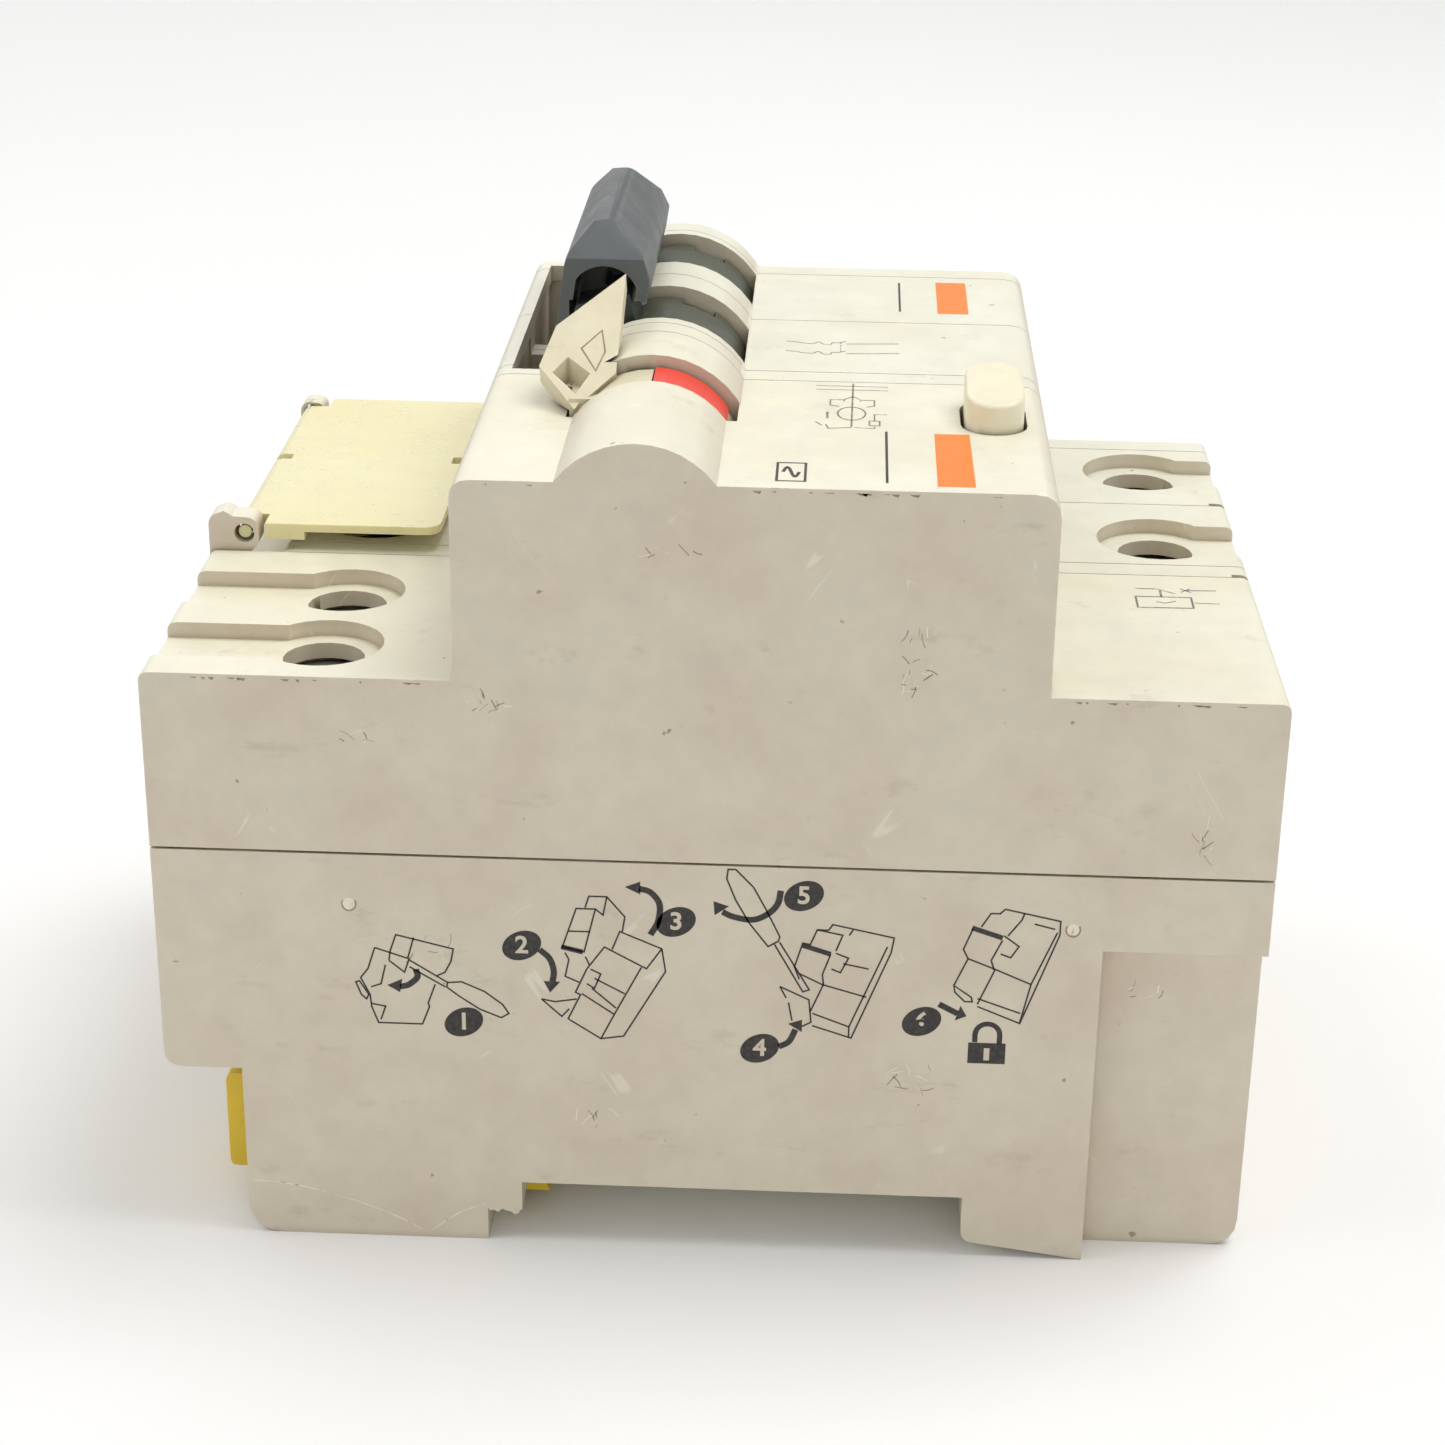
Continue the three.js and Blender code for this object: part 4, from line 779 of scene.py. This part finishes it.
# Scuffed places on the near face: middle, half length and half height, and number of strokes.
SCUFFS = [
    ((26.6, 47.6), (1.7, 0.7), 9),
    ((58.6, 51.6), (1.1, 2.6), 13),
    ((81.3, 38.4), (0.5, 1.6), 6),
    ((59.6, 16.2), (1.8, 1.0), 6),
    ((16.6, 44.5), (1.4, 0.4), 4),
    ((40.0, 60.2), (2.2, 0.8), 4),
    ((34.5, 11.5), (2.0, 0.6), 4),
    ((21.0, 26.4), (2.4, 1.2), 4),
    ((77.5, 24.5), (1.4, 0.8), 3),
]

# Bruised near upper edges: from and to along X, and height.
NICKED_EDGES = [
    ((1.5, 23.0), SHOULDER), ((26.0, 30.0), FRONT), ((46.0, 67.5), FRONT), ((70.0, 85.5), SHOULDER),
]
NICK_SPACING = 1.7
NICK_DROP = 0.26  # how far the nicks start below the edge


def make_mould_marks():
    """Thin raised flow lines at the load-side foot and two shallow round ejector marks, each with a
    painted shadow under its rim.
    """
    def flow_lines(bm):
        for line in FLOW_LINES:
            ribbon(bm, curve_through(line), 0.12, 0.02)

    def discs(bm):
        for x, z in EJECTOR_MARKS:
            patch(bm, oval(x, z, 0.46, 0.52, 0, 20))

    # A brown arc under each mark: painted shadow along its rim.
    def lower_rims(bm):
        sweep = [math.radians(150 + 20 * k) for k in range(13)]
        for x, z in EJECTOR_MARKS:
            ribbon(bm, [(x + 0.56 * math.cos(a), z + 0.62 * math.sin(a)) for a in sweep], 0.1)

    printed("flow_lines", flow_lines, "near", "block")
    printed("ejector_marks", discs, "near", "block")
    printed("ejector_rim_shadows", lower_rims, "near", "scuff")


def scuff_stroke(middle, half_size):
    """A short bent stroke somewhere in a scuffed place, and its width."""
    (x, z), (half_x, half_z) = middle, half_size
    start = Vector((x + RNG.uniform(-half_x, half_x), z + RNG.uniform(-half_z, half_z)))
    heading = math.radians(RNG.gauss(60, 45))
    length = RNG.uniform(0.3, 1.3)
    bend = RNG.uniform(-0.5, 0.5)
    points = []
    for t in (0, 0.33, 0.67, 1):
        angle = heading + bend * t
        points.append(start + Vector((math.cos(angle), math.sin(angle))) * length * t)
    return points, RNG.uniform(0.03, 0.09)


def make_scuffs():
    """Short brown and pale strokes where the near face was knocked and scraped."""
    for name, material, share in (("dark_scuffs", "scuff", 1.0), ("pale_scuffs", "pale", 0.7)):
        def strokes(bm, share=share):
            for middle, half_size, count in SCUFFS:
                for _ in range(math.ceil(count * share)):
                    points, width = scuff_stroke(middle, half_size)
                    ribbon(bm, points, width, INK * 0.6)

        printed(name, strokes, "near", material)


def make_edge_chips():
    """Small nicks along the near upper edges, where the moulded corner is bruised."""
    def nicks(bm):
        for (x0, x1), z in NICKED_EDGES:
            for _ in range(int((x1 - x0) / NICK_SPACING)):
                x = RNG.uniform(x0, x1)
                long, deep = RNG.uniform(0.15, 0.9), RNG.uniform(0.06, 0.26)
                top = z - NICK_DROP
                patch(bm, [(x - long / 2, top), (x + long / 2, top), (x + long * 0.3, top - deep),
                           (x - long * 0.2, top - deep * 0.6)], INK * 0.5)

    printed("edge_nicks", nicks, "near", "scuff")


def make_ragged_flash():
    """Torn moulding flash under the little ledge beside the load-side foot."""
    start, end, low, step = 25.9, 28.4, 2.9, 0.35
    bm = bmesh.new()
    edge = [(start + step * k, low - RNG.uniform(0.05, 0.55)) for k in range(8)]
    outline = [(start, low + 0.05), (end, low + 0.05), *reversed(edge)]
    close_between(bm, [[at(x, y, z) for x, z in outline] for y in (0.15, 0.6)])
    new_object("moulding_flash", bm, M["block"], "housing")


def make_lever_mark():
    """The outlined mark on the lever's sloping face, and the dark floor of its square socket."""
    slope = Matrix.Rotation(math.radians(30), 3, "X")
    foot = at(0, 16.1, 66.6)
    outline = [(33.5, 7.8), (32.0, 5.8), (33.3, 3.4), (33.9, 5.5), (33.5, 7.8)]
    bm = bmesh.new()
    ribbon(bm, outline, 0.14, 0.015)
    for v in bm.verts:
        v.co = slope @ ((v.co + Vector((0, 0, -0.005))) * MM) + foot
    new_object("lever_triangle", bm, M["scuff"], "lever")
    socket = bmesh.new()
    patch(socket, [(29.9, 18.8), (31.9, 16.9), (32.9, 18.8), (31.0, 20.3)], 0.03)
    lay(socket, 66.62)
    new_object("socket_floor", socket, M["ochre"], "lever")


# ---------------------------------------------------------------------- the studio
FLOOR_FRONT = -1.6  # metres, as are the other sizes of the sweep
FLOOR_BACK = 0.55
FLOOR_HALF_WIDTH = 2.2
BEND_RADIUS = 0.5
WALL_TOP = 1.9
BEND_STEPS = 12
WARM = (1.0, 0.99, 0.97)
WARMER = (1.0, 0.96, 0.92)
AIM = Vector((0, 0, 0.03))  # where every lamp points
WORLD_LIGHT = 0.45
LENS_MM = 74.05
CAMERA_PLACE = (52.53, -205.83, 135.97)  # mm from the block's corner
CAMERA_YAW, CAMERA_PITCH, CAMERA_ROLL = (math.radians(a) for a in (2.26, 23.42, 0.78))


def make_floor():
    """A pale sheet that bends up behind the object."""
    bm = bmesh.new()
    angles = [math.pi / 2 * k / BEND_STEPS for k in range(1, BEND_STEPS + 1)]
    bend = [(FLOOR_BACK + BEND_RADIUS * math.sin(a), BEND_RADIUS - BEND_RADIUS * math.cos(a))
            for a in angles]
    rows = [(FLOOR_FRONT, 0.0), (FLOOR_BACK, 0.0), *bend, (FLOOR_BACK + BEND_RADIUS, WALL_TOP)]
    sides = (-FLOOR_HALF_WIDTH, FLOOR_HALF_WIDTH)
    verts = [[bm.verts.new((x, y, z)) for x in sides] for y, z in rows]
    for a, b in zip(verts, verts[1:]):
        bm.faces.new((a[0], a[1], b[1], b[0]))
    mesh = bpy.data.meshes.new("sweep")
    bm.to_mesh(mesh)
    bm.free()
    for face in mesh.polygons:
        face.use_smooth = True
    g = Graph("pale_paper")
    light, lighter = (0.93, 0.93, 0.93, 1), (0.95, 0.95, 0.95, 1)
    tone = g.mix(g.ramp(g.noise(0.004, 3), 0.3, 0.7), light, lighter)
    mesh.materials.append(g.look({"Base Color": tone}, {"Roughness": 0.9}))
    floor = bpy.data.objects.new("sweep", mesh)
    bpy.context.scene.collection.objects.link(floor)
    floor.location.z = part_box("rcd_base")[0].z


def add_light(name, place, power, size, colour=(1, 1, 1)):
    """A square lamp that points at the object."""
    data = bpy.data.lights.new(name, "AREA")
    data.energy = power
    data.size = size
    data.color = colour
    lamp = bpy.data.objects.new(name, data)
    lamp.location = place
    lamp.rotation_mode = "QUATERNION"
    lamp.rotation_quaternion = (AIM - Vector(place)).to_track_quat("-Z", "Y")
    bpy.context.scene.collection.objects.link(lamp)


def make_lights():
    add_light("key", (0.3, 0.08, 0.78), 3.75, 0.5, WARM)
    add_light("left_fill", (-0.45, 0.0, 0.65), 1.35, 0.6)
    add_light("front_fill", (0.05, -0.9, 0.35), 1.0, 0.7, WARMER)
    add_light("back_fill", (-0.3, 0.7, 0.5), 0.6, 0.6)
    world = bpy.data.worlds.new("studio")
    world.use_nodes = True
    shade = world.node_tree.nodes["Background"]
    shade.inputs["Color"].default_value = (1.0, 1.0, 1.0, 1.0)
    shade.inputs["Strength"].default_value = WORLD_LIGHT
    bpy.context.scene.world = world


def make_camera():
    """A long lens in front of the block's free side, looking down on the toggles."""
    data = bpy.data.cameras.new("camera")
    data.sensor_width = 36.0
    data.lens = LENS_MM
    data.clip_start = 0.01
    data.clip_end = 20.0
    cam = bpy.data.objects.new("camera", data)
    turn = (Matrix.Rotation(CAMERA_YAW, 3, "Z")
            @ Matrix.Rotation(math.pi / 2 - CAMERA_PITCH, 3, "X")
            @ Matrix.Rotation(CAMERA_ROLL, 3, "Z"))
    cam.rotation_mode = "QUATERNION"
    cam.rotation_quaternion = turn.to_quaternion()
    cam.location = at(*CAMERA_PLACE)
    bpy.context.scene.collection.objects.link(cam)
    bpy.context.scene.camera = cam


make_camera()
make_housing()
make_moving_parts()
dress_nodes()
make_prints()
make_mould_marks()
make_scuffs()
make_edge_chips()
make_ragged_flash()
make_lever_mark()
make_floor()
make_lights()
bpy.context.scene.view_settings.view_transform = "Standard"
